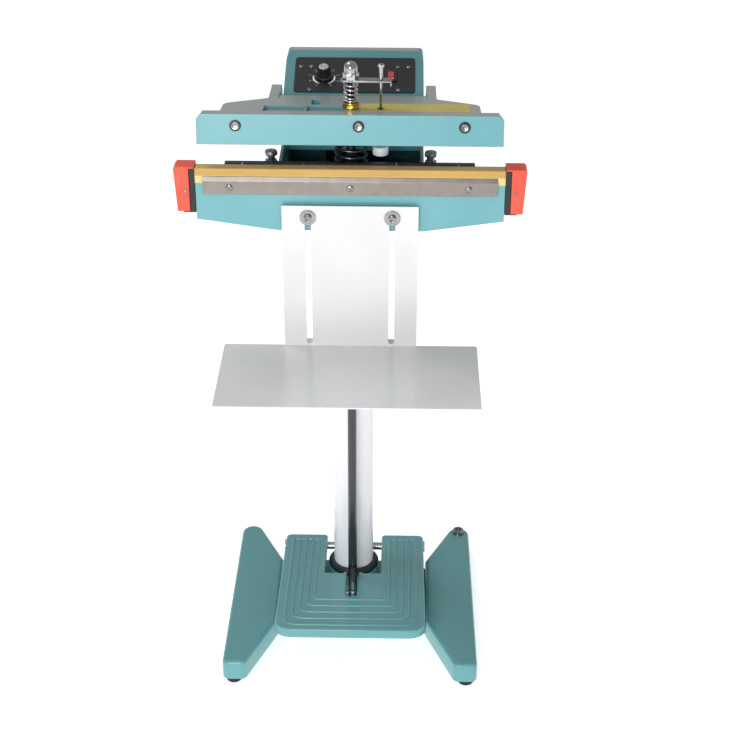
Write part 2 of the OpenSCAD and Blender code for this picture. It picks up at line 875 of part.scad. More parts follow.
module dome_nut() {
    color(steel) stand() translate([0, -rod_y, nut_z]) difference() {
        union() {
            hexagon(18, 9);
            translate([0, 0, 9]) cylinder(r = 8.6, h = 6);
            translate([0, 0, 15]) sphere(8.6, $fn = 64);
        }
        translate([0, 0, -1]) cylinder(r = thread_r, h = 13);
    }
}

module trip_pin() {
    color(steel) stand() translate([trip_x, -rod_y, 0]) {
        translate([0, 0, nut_z + 16]) socket_screw(2, 4, 4, 90);
        translate([0, 0, nut_z]) difference() {
            cylinder(r = 2.6, h = 16);
            translate([0, 0, -1]) cylinder(r = 2, h = 20);
        }
    }
}

module trip_tip() {
    color(white) stand() translate([trip_x, -rod_y, 0]) difference() {
        translate([0, 0, 754]) cylinder(r = 10.5, h = 12);
        translate([0, 0, 757]) cylinder(r = 2, h = 20);
    }
}

// Pedal ----------------------------------------------------------------------------------------

module pedal_outline(inset) {
    w = pedal_w - 2 * inset;
    y0 = -pedal_l + inset;
    y1 = 12 - inset;
    translate([0, (y0 + y1) / 2]) round_rect(w, y1 - y0, max(3, 14 - inset / 4));
}

// One ridge's outer line, drawn in by the inset
module ridge_outline(i, inset) {
    w = pedal_w - 2 * (ridge_edge + ridge_side * i + inset);
    y0 = ridge_edge + ridge_toe * i + inset - pedal_l;
    translate([0, y0 / 2]) round_rect(w, -y0, max(2, 16 - 3 * i - inset));
}

module pedal_notch(grow) {
    translate([-42.5 - grow, -112 - grow]) square([85 + 2 * grow, 160]);
}

module pedal() {
    color(dark_teal) raised() difference() {
        union() {
            difference() {
                linear_extrude(14) pedal_outline(0);
                translate([0, 0, -1]) linear_extrude(9) difference() {
                    pedal_outline(6);
                    pedal_notch(6);
                }
            }
            // Ridges under the shoe
            for (i = [0:ridge_count - 1])
                translate([0, 0, 14]) linear_extrude(ridge_h) difference() {
                    ridge_outline(i, 0);
                    ridge_outline(i, ridge_w);
                    translate([-200, heel_y]) square([400, 60]);
                }
            for (s = [-1, 1])
                translate([s * (pedal_w / 2 - 33), heel_y, 14]) block(44, ridge_w, ridge_h);
            // Lugs for the fork pin and the shaft bosses
            for (s = [-1, 1])
                span([s > 0 ? 9 : -14, -150, -6], [s > 0 ? 14 : -9, -100, 9]);
            for (x = [-boss_x - boss_l, boss_x])
                bar_x(boss_r, x, x + boss_l);
        }
        translate([0, 0, -20]) linear_extrude(60) pedal_notch(0);
        translate([0, 0, -20]) linear_extrude(60) {
            translate([-8.3, -174]) square([16.6, 70]);
            translate([0, -174]) circle(8.3);
        }
        bar_x(bush_r, -pedal_w / 2 - 1, pedal_w / 2 + 1);
        translate(fork_pin_local()) bar_x(pin_r, -20, 20);
    }
}

// The fork pin's place in the level pedal
function fork_pin_local() = let (y = pin_y - pivot_y, z = pin_z - pivot_z)
    [0, y * cos(pedal_tilt) - z * sin(pedal_tilt), y * sin(pedal_tilt) + z * cos(pedal_tilt)];

module pedal_bushes() {
    color(brass) raised()
        for (x = [-boss_x - boss_l, boss_x])
            difference() {
                bar_x(bush_r, x, x + boss_l);
                bar_x(shaft_r + fit, x - 1, x + boss_l + 1);
            }
}

module fork_pin() {
    color(steel) raised() translate(fork_pin_local()) {
        bar_x(pin_r, -16, 16);
        for (x = [-18, 16])
            bar_x(5, x, x + 2);
    }
}

// Table ----------------------------------------------------------------------------------------

module table_top() {
    color(white) stand()
        translate([0, plate_front - table_d / 2 + plate_thick, table_z - plate_thick])
            linear_extrude(plate_thick) round_rect(table_w, table_d, 3);
}

module table_back() {
    color(white) stand() difference() {
        union() {
            span([-plate_half, plate_front, table_z], [plate_half, plate_front + plate_thick, plate_top]);
            span([-plate_half, plate_front + plate_thick, table_z], [plate_half, plate_front + 18, table_z + 1.6]);
        }
        for (s = [-1, 1])
            translate([s * slot_x, plate_front + 5, 0]) {
                for (z = [table_z + 7, screw_z + 2])
                    translate([0, 0, z]) bar_y(3.9, 20);
                span([-3.9, -20, table_z + 7], [3.9, 0, screw_z + 2]);
            }
    }
}

// Controls -------------------------------------------------------------------------------------

module knob() {
    color(black) on_slope(knob_x, knob_u) translate([0, 0, panel_t + 0.4]) difference() {
        union() {
            cylinder(r = knob_r, h = 3);
            translate([0, 0, 3]) cylinder(r1 = knob_r - 1, r2 = knob_r - 2.6, h = knob_h - 3, $fn = 48);
        }
        translate([0, 0, -1]) cylinder(r = 3 + fit, h = 10.5);
    }
}

module rocker() {
    color(red) on_slope(rocker_x, rocker_u) translate([0, 0, -1])
        rotate([-8, 0, 0]) intersection() {
            bar_x(9, -4, 4);
            translate([0, 0, -2]) block(8, 17.6, 8);
        }
}

base_beam();
left_wing();
right_wing();
wing_bolts();
rubber_feet();
levelling_bolt();
column();
column_collar();
column_screws();
pedal_shaft();
jaw_body();
heater_bar();
heating_ribbon();
underlay_tape();
cover_cloth();
clamp_strip();
strip_screws();
rear_strip();
end_insulators();
terminal_blocks();
left_cap();
right_cap();
cap_screws();
hinge_shaft();
stop_bolts();
return_spring();
control_panel();
panel_screws();
switch_bezel();
rear_cover();
cover_screws();
transformer();
timer_board();
potentiometer();
microswitch();
cord_inlet();
table_screws();
upper_arm();
pad_holder();
silicone_pad();
bar_screws();
screw_rings();
label_strip();
spring_seat();
hinge_bushes();
pull_rod();
rod_fork();
pressure_spring();
trip_plate();
dome_nut();
trip_pin();
trip_tip();
pedal();
pedal_bushes();
fork_pin();
table_top();
table_back();
knob();
rocker();
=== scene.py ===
# %% [markdown]
# # A foot-operated impulse heat sealer
# The machine stands on a column. A pedal pulls a rod, the rod swings the upper arm down, and a
# short pulse of current in a flat ribbon welds the mouth of a plastic bag. This lesson takes the
# functional model of the machine, keeps every part where it is, and gives each one the shape and
# the finish that a hand would feel: sand-cast aluminium under enamel, brushed stainless, coated
# glass cloth, turned brass, moulded plastic.
# The model is loaded first, because the column's place and the sizes of some parts below are read from it.

# %% Load the machine
import math
import bmesh
import bpy
from mathutils import Matrix, Vector, geometry, noise


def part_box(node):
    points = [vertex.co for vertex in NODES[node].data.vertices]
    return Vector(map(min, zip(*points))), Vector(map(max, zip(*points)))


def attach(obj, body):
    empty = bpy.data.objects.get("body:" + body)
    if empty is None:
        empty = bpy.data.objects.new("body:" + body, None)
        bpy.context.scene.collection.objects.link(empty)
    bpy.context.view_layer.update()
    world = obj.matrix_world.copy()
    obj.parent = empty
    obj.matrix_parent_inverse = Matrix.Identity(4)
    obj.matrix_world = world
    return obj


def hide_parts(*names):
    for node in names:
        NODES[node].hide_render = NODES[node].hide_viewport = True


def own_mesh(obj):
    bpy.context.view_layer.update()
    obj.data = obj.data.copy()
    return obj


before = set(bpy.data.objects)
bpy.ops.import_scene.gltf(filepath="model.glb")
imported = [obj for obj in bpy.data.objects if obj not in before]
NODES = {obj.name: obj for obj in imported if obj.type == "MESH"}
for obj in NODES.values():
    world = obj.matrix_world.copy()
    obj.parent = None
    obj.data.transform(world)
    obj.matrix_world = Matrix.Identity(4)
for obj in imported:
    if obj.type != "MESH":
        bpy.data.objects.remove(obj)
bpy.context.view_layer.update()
MM = 0.001
scene = bpy.context.scene

# %% [markdown]
# ## Where we stand
# The machine is looked at from a standing person's eye, a little to the right, nearly 30 degrees
# down, through a long lens, so that the column stays almost parallel. A camera in Blender looks
# along its own -Z with +Y up, so its matrix is built from the three directions themselves. That is
# easier to read than three angles, and the small roll of a hand-held camera fits in too.

# %% The camera
EYE = Vector((0.0607, -2.0048, 1.5396))
YAW, PITCH, ROLL = math.radians(0.81), math.radians(29.26), math.radians(0.24)
LENS_MM = 77.9

ahead = Vector((-math.sin(YAW) * math.cos(PITCH), math.cos(YAW) * math.cos(PITCH), -math.sin(PITCH)))
level = Vector((math.cos(YAW), math.sin(YAW), 0))
upright = level.cross(ahead)
right = level * math.cos(ROLL) + upright * math.sin(ROLL)
up = upright * math.cos(ROLL) - level * math.sin(ROLL)
lens = bpy.data.cameras.new("eye")
lens.lens = LENS_MM
lens.sensor_width = 36
camera = bpy.data.objects.new("eye", lens)
scene.collection.objects.link(camera)
turn = Matrix((right, up, -ahead)).transposed().to_4x4()
camera.matrix_world = Matrix.Translation(EYE) @ turn
scene.camera = camera
print("eye at", [round(v, 3) for v in EYE], "lens", LENS_MM, "mm")

# %% [markdown]
# ## One helper for every node
# Materials and Geometry Nodes are both made of nodes. A single helper adds one: its settings are
# attributes, its inputs are either plain values or the output of an earlier node. The trees below
# then read from top to bottom, as a recipe does. Colours are written as hex, which is how a paint
# maker's chart lists them, and one function turns them into the linear light that shaders use.
# Every finish ends in the same way: the edge is worn to a real radius in millimetres by a bevel
# node, which costs no geometry, and the surface relief has a real depth.

# %% Helpers for nodes and colours
def linear(hex_code):
    """An sRGB hex colour as linear RGBA."""
    levels = [int(hex_code[i:i + 2], 16) / 255 for i in (0, 2, 4)]
    return [v / 12.92 if v <= 0.04045 else ((v + 0.055) / 1.055) ** 2.4 for v in levels] + [1]


def put(tree, kind, inputs=None, **settings):
    """Adds a node with its settings, and sets or links its inputs."""
    node = tree.nodes.new(kind)
    for name, value in settings.items():
        setattr(node, name, value)
    for key, value in (inputs or {}).items():
        if isinstance(value, bpy.types.NodeSocket):
            tree.links.new(value, node.inputs[key])
        else:
            node.inputs[key].default_value = value
    return node


def ramp(tree, factor, stops):
    """A colour ramp from a list of (place, linear colour) stops."""
    node = put(tree, "ShaderNodeValToRGB", {"Fac": factor})
    elements = node.color_ramp.elements
    elements[0].position, elements[0].color = stops[0]
    elements[1].position, elements[1].color = stops[-1]
    for place, colour in stops[1:-1]:
        elements.new(place).color = colour
    return node.outputs["Color"]


def material(name):
    """An empty material, its tree, and the object's own coordinates in metres."""
    made = bpy.data.materials.new(name)
    made.use_nodes = True
    made.node_tree.nodes.clear()
    where = put(made.node_tree, "ShaderNodeTexCoord").outputs["Object"]
    return made, made.node_tree, where


def close(tree, bump, strength, depth_mm, edge_mm=0.4, **surface):
    """Ends a material: worn edges, a bump of the given real depth, the shader and the output."""
    edge = put(tree, "ShaderNodeBevel", {"Radius": edge_mm * MM}, samples=8)
    bumped = put(tree, "ShaderNodeBump", {"Height": bump, "Strength": strength, "Distance": depth_mm * MM,
                                          "Normal": edge.outputs["Normal"]})
    inputs = {key.replace("_", " "): value for key, value in surface.items()}
    inputs["Normal"] = bumped.outputs["Normal"]
    shader = put(tree, "ShaderNodeBsdfPrincipled", inputs)
    put(tree, "ShaderNodeOutputMaterial", {"Surface": shader.outputs["BSDF"]})


def grain(tree, where, size_mm, stretch=(1, 1, 1), detail=2, roughness=0.5):
    """Noise whose features are about size_mm across, stretched along the axes."""
    placed = put(tree, "ShaderNodeMapping", {"Vector": where, "Scale": stretch})
    made = put(tree, "ShaderNodeTexNoise", {"Vector": placed.outputs["Vector"], "Scale": 1 / (size_mm * MM),
                                            "Detail": detail, "Roughness": roughness})
    return made.outputs["Fac"]


print("helpers ready")

# %% [markdown]
# ## Enamel on sand-cast aluminium
# The castings are shot-blasted, sprayed with a stoving enamel and baked. What the eye gets is a
# calm, even colour with a soft sheen, the faint orange peel of sprayed paint (bumps 2 to 3 mm
# across), a broader waviness left by the sand mould, and a slight drift of tone where the coat is
# thicker. The drift is a slow noise, the peel a fine one, and both drive the bump. Level faces get a
# painted reflection: the paint is mixed towards grey where a face points up, for the grey sheen that
# a level painted face shows. A face that leans back, such as the panel's slope, gets painted shade:
# a darker tone of the paint. The base takes less of both.

# %% Sprayed enamel
def sprayed_enamel(name, thin, thick, reflection_grey, reflection_amount, shade_colour, peel_mm=2.2, sheen=0.33, edge_mm=1.4):
    made, tree, where = material(name)
    slow = grain(tree, where, 90, detail=1)
    peel = grain(tree, where, peel_mm, detail=1)
    cast = grain(tree, where, 14, detail=3)
    height = put(tree, "ShaderNodeMath", {0: peel, 1: cast}, operation="ADD").outputs[0]
    paint = ramp(tree, slow, [(0.3, linear(thin)), (0.7, linear(thick))])
    facing = put(tree, "ShaderNodeTexCoord").outputs["Normal"]
    upward = put(tree, "ShaderNodeSeparateXYZ", {"Vector": facing}).outputs["Z"]
    # painted reflection: faces that point up are mixed towards a grey, for the grey sheen of a level painted
    # face
    painted_reflection_mask = put(tree, "ShaderNodeMapRange", {"Value": upward, "From Min": 0.955, "From Max": 0.985,
                                             "To Max": reflection_amount}).outputs["Result"]
    # painted shade: faces that lean back are mixed towards a darker tone of the paint
    painted_shade_mask = put(tree, "ShaderNodeMapRange", {"Value": upward, "From Min": 0.5, "From Max": 0.93,
                                               "To Max": 0.8}).outputs["Result"]
    shaded_paint = put(tree, "ShaderNodeMix", {"Factor": painted_shade_mask, "A": paint, "B": linear(shade_colour)}, data_type="RGBA")
    colour = put(tree, "ShaderNodeMix", {"Factor": painted_reflection_mask, "A": shaded_paint.outputs["Result"], "B": linear(reflection_grey)},
                 data_type="RGBA")
    gloss = put(tree, "ShaderNodeMapRange", {"Value": cast, "To Min": sheen - 0.04, "To Max": sheen + 0.05})
    close(tree, height, 0.35, 0.12, edge_mm, Base_Color=colour.outputs["Result"],
          Roughness=gloss.outputs["Result"], IOR=1.5, Coat_Weight=0.25, Coat_Roughness=0.15)
    return made


# the last three arguments are the grey of the painted reflection, its strength, and the colour of the painted
# shade
ENAMEL_HEAD = sprayed_enamel("stoved_enamel_on_aluminium_head", "69AAB2", "73B3BA", "A0A49E", 0.85, "4C8286")
ENAMEL_BASE = sprayed_enamel("stoved_enamel_on_aluminium_base", "5F9FA3", "69A8AB", "6E9A9A", 0.25, "5A969A",
                             peel_mm=2.6, sheen=0.3, edge_mm=2)
print("made", ENAMEL_HEAD.name, "and", ENAMEL_BASE.name)

# %% [markdown]
# ## Powder coat, lacquer and rubber
# The column and the table are steel with a white powder coat: the powder melts into a glassy skin
# whose ripples are longer and flatter than sprayed paint. The rod has a thin black lacquer that
# shows the drawn steel under it as fine lines along its length. The feet are moulded rubber, dull
# and slightly mottled.

# %% Powder coat, lacquer, rubber
def powder_coat(name, low, high, gloss):
    made, tree, where = material(name)
    ripple = grain(tree, where, 5, detail=1)
    tone = ramp(tree, grain(tree, where, 120, detail=1), [(0.3, linear(low)), (0.7, linear(high))])
    close(tree, ripple, 0.25, 0.08, Base_Color=tone, Roughness=gloss, IOR=1.52, Coat_Weight=0.35,
          Coat_Roughness=0.08)
    return made


def drawn_lacquer(name, low, high):
    made, tree, where = material(name)
    lines = grain(tree, where, 1.2, stretch=(1, 1, 0.02), detail=3)
    tone = ramp(tree, lines, [(0.35, linear(low)), (0.65, linear(high))])
    close(tree, lines, 0.2, 0.03, Base_Color=tone, Roughness=0.28, IOR=1.5, Coat_Weight=0.5,
          Coat_Roughness=0.12)
    return made


def moulded_rubber(name, low, high):
    made, tree, where = material(name)
    bloom = grain(tree, where, 3, detail=4)
    tone = ramp(tree, bloom, [(0.3, linear(low)), (0.75, linear(high))])
    close(tree, bloom, 0.4, 0.1, Base_Color=tone, Roughness=0.72, IOR=1.52)
    return made


COLUMN_WHITE = powder_coat("powder_coat_on_steel_column", "F0F0F6", "F7F7FB", 0.2)
TABLE_WHITE = powder_coat("powder_coat_on_steel_table", "DCDCDD", "E6E6E7", 0.24)
ROD_LACQUER = drawn_lacquer("black_lacquer_on_drawn_steel", "1C1D1F", "2B2C2F")
FOOT_RUBBER = moulded_rubber("moulded_black_rubber", "101011", "222224")
SILICONE = moulded_rubber("moulded_red_silicone", "B5523A", "C6634A")
print("made 5 finishes")

# %% [markdown]
# ## Coated glass cloth
# The gold cover over the hot ribbon is glass cloth soaked in PTFE. Its plain weave still shows as
# a fine grid of crossing yarns, the coating makes it slick, and it is honey brown. Lower down its
# front face it is mixed towards a pale gold: painted light. Real yarns are 0.4 mm apart, too fine
# to see at this size, so they are drawn at 1.1 mm.

# %% PTFE cloth
def coated_glass_cloth(name, low, high, lit_face_colour, thread_mm=1.1):
    made, tree, where = material(name)
    across = put(tree, "ShaderNodeTexWave", {"Vector": where, "Scale": 0.314 / (thread_mm * MM),
                                             "Distortion": 0.4}, bands_direction="X").outputs["Fac"]
    along = put(tree, "ShaderNodeTexWave", {"Vector": where, "Scale": 0.314 / (thread_mm * MM),
                                            "Distortion": 0.4}, bands_direction="DIAGONAL").outputs["Fac"]
    weave = put(tree, "ShaderNodeMath", {0: across, 1: along}, operation="MAXIMUM").outputs[0]
    tan = grain(tree, where, 40, stretch=(0.3, 1, 1), detail=3)
    both = put(tree, "ShaderNodeMix", {0: 0.25, "A": tan, "B": weave}).outputs["Result"]
    cloth_tone = ramp(tree, both, [(0.25, linear(low)), (0.75, linear(high))])
    # painted light: lower down the front face the cloth is mixed towards a pale gold, for the light falling
    # on that face
    height = put(tree, "ShaderNodeSeparateXYZ", {"Vector": where}).outputs["Z"]
    painted_light_mask = put(tree, "ShaderNodeMapRange", {"Value": height, "From Min": 0.7425, "From Max": 0.7405})
    tone = put(tree, "ShaderNodeMix", {"Factor": painted_light_mask.outputs["Result"], "A": cloth_tone, "B": linear(lit_face_colour)},
               data_type="RGBA").outputs["Result"]
    close(tree, weave, 0.35, 0.08, 0.2, Base_Color=tone, Roughness=0.34, IOR=1.38, Sheen_Weight=0.15)
    return made


# the third colour is the pale gold of the painted light on the cloth's front face
CLOTH_GOLD = coated_glass_cloth("ptfe_coated_glass_cloth", "B98F45", "D3AE62", "E6D08E")
TAPE_WHITE = coated_glass_cloth("bare_glass_cloth_tape", "CFC6AE", "E3DCC8", "E3DCC8")
print("made", CLOTH_GOLD.name)

# %% [markdown]
# ## Bare metals
# Each metal keeps the same shader and differs in colour and in how the tool left it. Brushed
# stainless has long hairlines along the strip. Turned brass and zinc-plated screws have a slightly
# cloudy film. Chrome is a mirror with only dust-fine unevenness. Blackened steel keeps a
# trace of oil, so its roughness is patchy. Milled aluminium shows the cutter's shallow waves.

# %% Metals
def worked_metal(name, low, high, rough, grain_mm, stretch=(1, 1, 1), depth_mm=0.03, spread=0.1):
    made, tree, where = material(name)
    marks = grain(tree, where, grain_mm, stretch=stretch, detail=4, roughness=0.6)
    cloud = grain(tree, where, 12, detail=2)
    tone = ramp(tree, cloud, [(0.3, linear(low)), (0.7, linear(high))])
    gloss = put(tree, "ShaderNodeMapRange", {"Value": marks, "To Min": max(rough - spread, 0.03),
                                             "To Max": rough + spread}).outputs["Result"]
    close(tree, marks, 0.3, depth_mm, Base_Color=tone, Metallic=1.0, Roughness=gloss)
    return made


STAINLESS = worked_metal("brushed_stainless", "86807A", "8E8882", 0.3, 0.5, stretch=(0.01, 1, 1),
                         depth_mm=0.004, spread=0.04)
ZINC = worked_metal("zinc_plated_steel", "8E8F8F", "9C9D9C", 0.24, 1.5, depth_mm=0.005, spread=0.05)
SPUN = worked_metal("spun_aluminium_cap", "C9CACB", "E4E5E6", 0.28, 0.6)
CHROME = worked_metal("chrome_plated_brass", "ACADB0", "B8B9BC", 0.11, 6, depth_mm=0.005, spread=0.03)
BRASS = worked_metal("turned_brass", "C79A3A", "DDB254", 0.24, 0.8, stretch=(1, 1, 8))
BLACKENED = worked_metal("blackened_steel", "2C2E31", "3D4044", 0.36, 2.5, spread=0.14)
SPRING_DARK = worked_metal("oil_tempered_spring_wire", "55565A", "6B6C70", 0.22, 1.5, depth_mm=0.01)
SPRING_BRIGHT = worked_metal("hard_drawn_spring_wire", "C0C0C4", "DADADD", 0.18, 1.5, depth_mm=0.02)
GROUND = worked_metal("ground_shaft_steel", "A9AAAC", "BDBEC0", 0.22, 0.5, stretch=(6, 1, 1))
MILLED = worked_metal("milled_aluminium", "B7B9BB", "C9CBCC", 0.32, 1.0, stretch=(0.3, 1, 1))
DARK_ZINC = worked_metal("dark_passivated_zinc", "8B8D91", "A3A5A9", 0.3, 2.0, depth_mm=0.01)
print("made 11 metals")

# %% [markdown]
# ## Plastics, print and board
# The caps are injection-moulded in red ABS: an even colour, a low sheen from a spark-eroded mould,
# and skin so thin that edges catch the light. Phenolic end plates and the knob are black with a
# faint mottling of filler. The panel is a plate with a printed matt black face. The circuit board
# is green solder mask over copper.

# %% Plastics
def moulded_plastic(name, low, high, rough, texture_mm, depth_mm=0.04, coat=0.0, through=0.0):
    made, tree, where = material(name)
    spark = grain(tree, where, texture_mm, detail=2)
    tone = ramp(tree, grain(tree, where, 30, detail=2), [(0.3, linear(low)), (0.7, linear(high))])
    close(tree, spark, 0.3, depth_mm, Base_Color=tone, Roughness=rough, IOR=1.53, Coat_Weight=coat,
          Coat_Roughness=0.1, Subsurface_Weight=through, Subsurface_Scale=0.004)
    return made


CAP_RED = moulded_plastic("injection_moulded_red_abs", "EE4A32", "F65B42", 0.36, 0.9, through=0.05)
PHENOLIC = moulded_plastic("black_phenolic_sheet", "141215", "211E22", 0.45, 0.7)
KNOB_BLACK = moulded_plastic("moulded_black_phenolic", "0C0C0D", "161617", 0.3, 1.2, coat=0.2)
PANEL_BLACK = moulded_plastic("screen_printed_matt_black", "121011", "181617", 0.46, 0.8)
# the collar's dark teal is partly its own dark colour and partly painted shade: the tone of the socket in
# shadow
COLLAR_DARK_WITH_PAINTED_SHADE = moulded_plastic("dark_collar_and_painted_shade", "0D1C20", "162A2F", 0.35, 2.0)
ROCKER_RED = moulded_plastic("glossy_red_polycarbonate", "C8141B", "DB2430", 0.2, 2.0, coat=0.4, through=0.1)
NYLON = moulded_plastic("natural_nylon", "DCE8EE", "EBF3F6", 0.35, 2.5, through=0.35)
LABEL_YELLOW = moulded_plastic("plain_yellow_vinyl", "C4B651", "D0C35F", 0.42, 1.5)
PRINT_WHITE = moulded_plastic("white_screen_ink", "E9E9E6", "F4F4F1", 0.5, 1.0)
BOARD_GREEN = moulded_plastic("green_solder_mask", "0F4A2A", "186238", 0.3, 3.0, coat=0.3)
print("made 10 plastics and prints")

# %% [markdown]
# ## From the drawing to the machine
# Every piece below is made in the simplest axes it has, in millimetres, and is then laid into the
# machine by one matrix: upright on the column's axis, swung with the open arm, tilted with the
# pedal, or flat on the sloping panel. The column's place is read from the model.

# %% Places
low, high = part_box("column")
COLUMN_Y = (low.y + high.y) / 2 / MM
OPEN, SLOPE, TILT = math.radians(9.6), math.radians(18), math.radians(7.1)
REACH, SEAL = 108, 751.5


def at(x, y, z, turn=0, axis="X"):
    """A place in millimetres, with a turn about one axis."""
    return Matrix.Translation((x, y, z)) @ Matrix.Rotation(turn, 4, axis)


STAND = at(0, COLUMN_Y, 0)
HINGE = at(0, 75, 780)
ARM = STAND @ HINGE @ Matrix.Rotation(-OPEN, 4, "X") @ HINGE.inverted()
PEDAL = STAND @ at(0, 57, 47, -TILT)
SIDE = at(0, 0, 0, math.radians(90), "Y")


def on_panel(x, u, lift=0):
    """A point on the sloping panel, x across and u up from the console's front edge."""
    return STAND @ at(x, 57 + u * math.cos(SLOPE), 791.7 + u * math.sin(SLOPE), SLOPE) @ at(0, 0, lift)


print("column axis at y =", round(COLUMN_Y, 3), "mm")

# %% [markdown]
# ## Two ways to make a solid
# Nearly everything on the machine is either *turned* or *cut from a plan*. A turned piece is a
# stack of rings; letting a ring be a hexagon, a cross or a fluted circle gives bolt heads, driver
# recesses and knurled knobs from the same few lines. A plan piece is an outline whose profile steps
# inwards as it rises, so its edge is rounded to a true radius, as a pattern maker rounds a casting.

# %% Rings and plans
def add_rings(work, rings, place, sides=48):
    """Adds a closed stack of rings (outline, size, height) in mm, standing on the place's XY plane."""
    stack = []
    for outline, size, height in rings:
        turns = [2 * math.pi * k / sides for k in range(sides)]
        stack.append([work.verts.new(place @ Vector((size * outline(a) * math.cos(a),
                                                     size * outline(a) * math.sin(a), height)))
                      for a in turns])
    for lower, upper in zip(stack, stack[1:]):
        for k in range(sides):
            work.faces.new((lower[k], lower[(k + 1) % sides], upper[(k + 1) % sides], upper[k]))
    for ring, height in ((stack[0], rings[0][2]), (stack[-1], rings[-1][2])):
        pole = work.verts.new(place @ Vector((0, 0, height)))
        for k in range(sides):
            work.faces.new((ring[k], ring[(k + 1) % sides], pole))


def add_plan(work, outline, profile, place):
    """Adds an outline (x, y in mm, anticlockwise) skinned over a profile of (inset, height)."""
    count = len(outline)
    miters = []
    for k in range(count):
        before = (Vector(outline[k]) - Vector(outline[k - 1])).normalized()
        after = (Vector(outline[(k + 1) % count]) - Vector(outline[k])).normalized()
        inward = Vector((-before.y, before.x)) + Vector((-after.y, after.x))
        miters.append(inward / max(1 + before.dot(after), 0.2))
    stack = [[work.verts.new(place @ Vector((p[0] + m.x * inset, p[1] + m.y * inset, height)))
              for p, m in zip(outline, miters)] for inset, height in profile]
    for lower, upper in zip(stack, stack[1:]):
        for k in range(count):
            work.faces.new((lower[k], lower[(k + 1) % count], upper[(k + 1) % count], upper[k]))
    for ring in (stack[0], stack[-1]):
        rim = [work.edges.get((ring[k], ring[(k + 1) % count])) for k in range(count)]
        bmesh.ops.triangle_fill(work, edges=rim, use_beauty=True)


def filleted(corners, steps=6, closed=True):
    """An outline from (x, y, radius) corners, each rounded by an arc."""
    made, count = [], len(corners)
    for k, (x, y, r) in enumerate(corners):
        here = Vector((x, y))
        if r <= 0 or (not closed and k in (0, count - 1)):
            made.append((x, y))
            continue
        a = (Vector(corners[k - 1][:2]) - here).normalized()
        b = (Vector(corners[(k + 1) % count][:2]) - here).normalized()
        half = a.angle(b) / 2
        centre = here + (a + b).normalized() * (r / math.sin(half))
        start, end = here + a * (r / math.tan(half)) - centre, here + b * (r / math.tan(half)) - centre
        sweep = start.angle_signed(end)
        made += [tuple(centre + Matrix.Rotation(-sweep * i / steps, 2) @ start) for i in range(steps + 1)]
    return made


def edge_profile(bottom, top, low_r, top_r, steps=4):
    """The profile of a plate: rounded at the bottom by low_r and at the top by top_r."""
    turns = [math.pi / 2 * i / steps for i in range(steps + 1)]
    lower = [(low_r * (1 - math.sin(t)), bottom + low_r * (1 - math.cos(t))) for t in turns]
    upper = [(top_r * (1 - math.cos(t)), top - top_r * (1 - math.sin(t))) for t in turns]
    return lower + upper


def circle(angle):
    return 1


def hexagon(angle):
    return math.cos(math.pi / 6) / math.cos(angle % (math.pi / 3) - math.pi / 6)


def cross(angle):
    lean = abs((angle + math.pi / 4) % (math.pi / 2) - math.pi / 4)
    return min(1 / math.cos(lean), 0.24 / max(math.sin(lean), 1e-6))


def fluted(count, depth):
    return lambda angle: 1 - depth * (0.5 - 0.5 * math.cos(count * angle))


def solid(work, name):
    """Closes a build: normals outwards, millimetres to metres, one plain mesh."""
    bmesh.ops.remove_doubles(work, verts=work.verts, dist=1e-4)
    bmesh.ops.recalc_face_normals(work, faces=work.faces)
    bmesh.ops.scale(work, vec=(MM, MM, MM), verts=work.verts)
    mesh = bpy.data.meshes.new(name)
    work.to_mesh(mesh)
    work.free()
    return mesh


def show(name, mesh, body, finish, *stands_for, crease=34):
    """Places a finished mesh on its body with its finish, and hides the parts it stands for."""
    piece = bpy.data.objects.new(name, mesh)
    scene.collection.objects.link(piece)
    if finish:
        mesh.materials.clear()
        mesh.materials.append(finish)
    for face in mesh.polygons:
        face.use_smooth = True
    mesh.set_sharp_from_angle(angle=math.radians(crease))
    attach(piece, body)
    if stands_for:
        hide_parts(*stands_for)
    print(name, len(mesh.polygons), "faces")
    return piece


print("rings and plans ready")

# %% [markdown]
# ## Geometry Nodes for what repeats or follows a path
# Three small trees do the rest. *Row* sets one master piece at every point of a row and turns each
# by a fixed random angle, because no two screws stop at the same place. *Bead* lays a round bar
# along a path: the foot ridges and the thread on the rod. *Coil* winds wire: its end turns touch,
# as on a real compression spring, and the turns between share the rest of the height. Each tree has
# named inputs and ends in Realize Instances and Set Material, and is then turned into plain mesh.

# %% Tree helpers
def tree_for(name, inputs):
    """A geometry tree with named inputs; gives the tree, its input outputs and its output node."""
    tree = bpy.data.node_groups.new(name, "GeometryNodeTree")
    tree.interface.new_socket(name="Geometry", in_out="INPUT", socket_type="NodeSocketGeometry")
    for label, kind in inputs:
        tree.interface.new_socket(name=label, in_out="INPUT", socket_type=kind)
    tree.interface.new_socket(name="Geometry", in_out="OUTPUT", socket_type="NodeSocketGeometry")
    return tree, put(tree, "NodeGroupInput").outputs, put(tree, "NodeGroupOutput")


def end_tree(tree, given, done, geometry):
    """Realize, set the material and leave."""
    real = put(tree, "GeometryNodeRealizeInstances", {"Geometry": geometry}).outputs["Geometry"]
    coated = put(tree, "GeometryNodeSetMaterial", {"Geometry": real, "Material": given["Material"]})
    tree.links.new(coated.outputs["Geometry"], done.inputs["Geometry"])


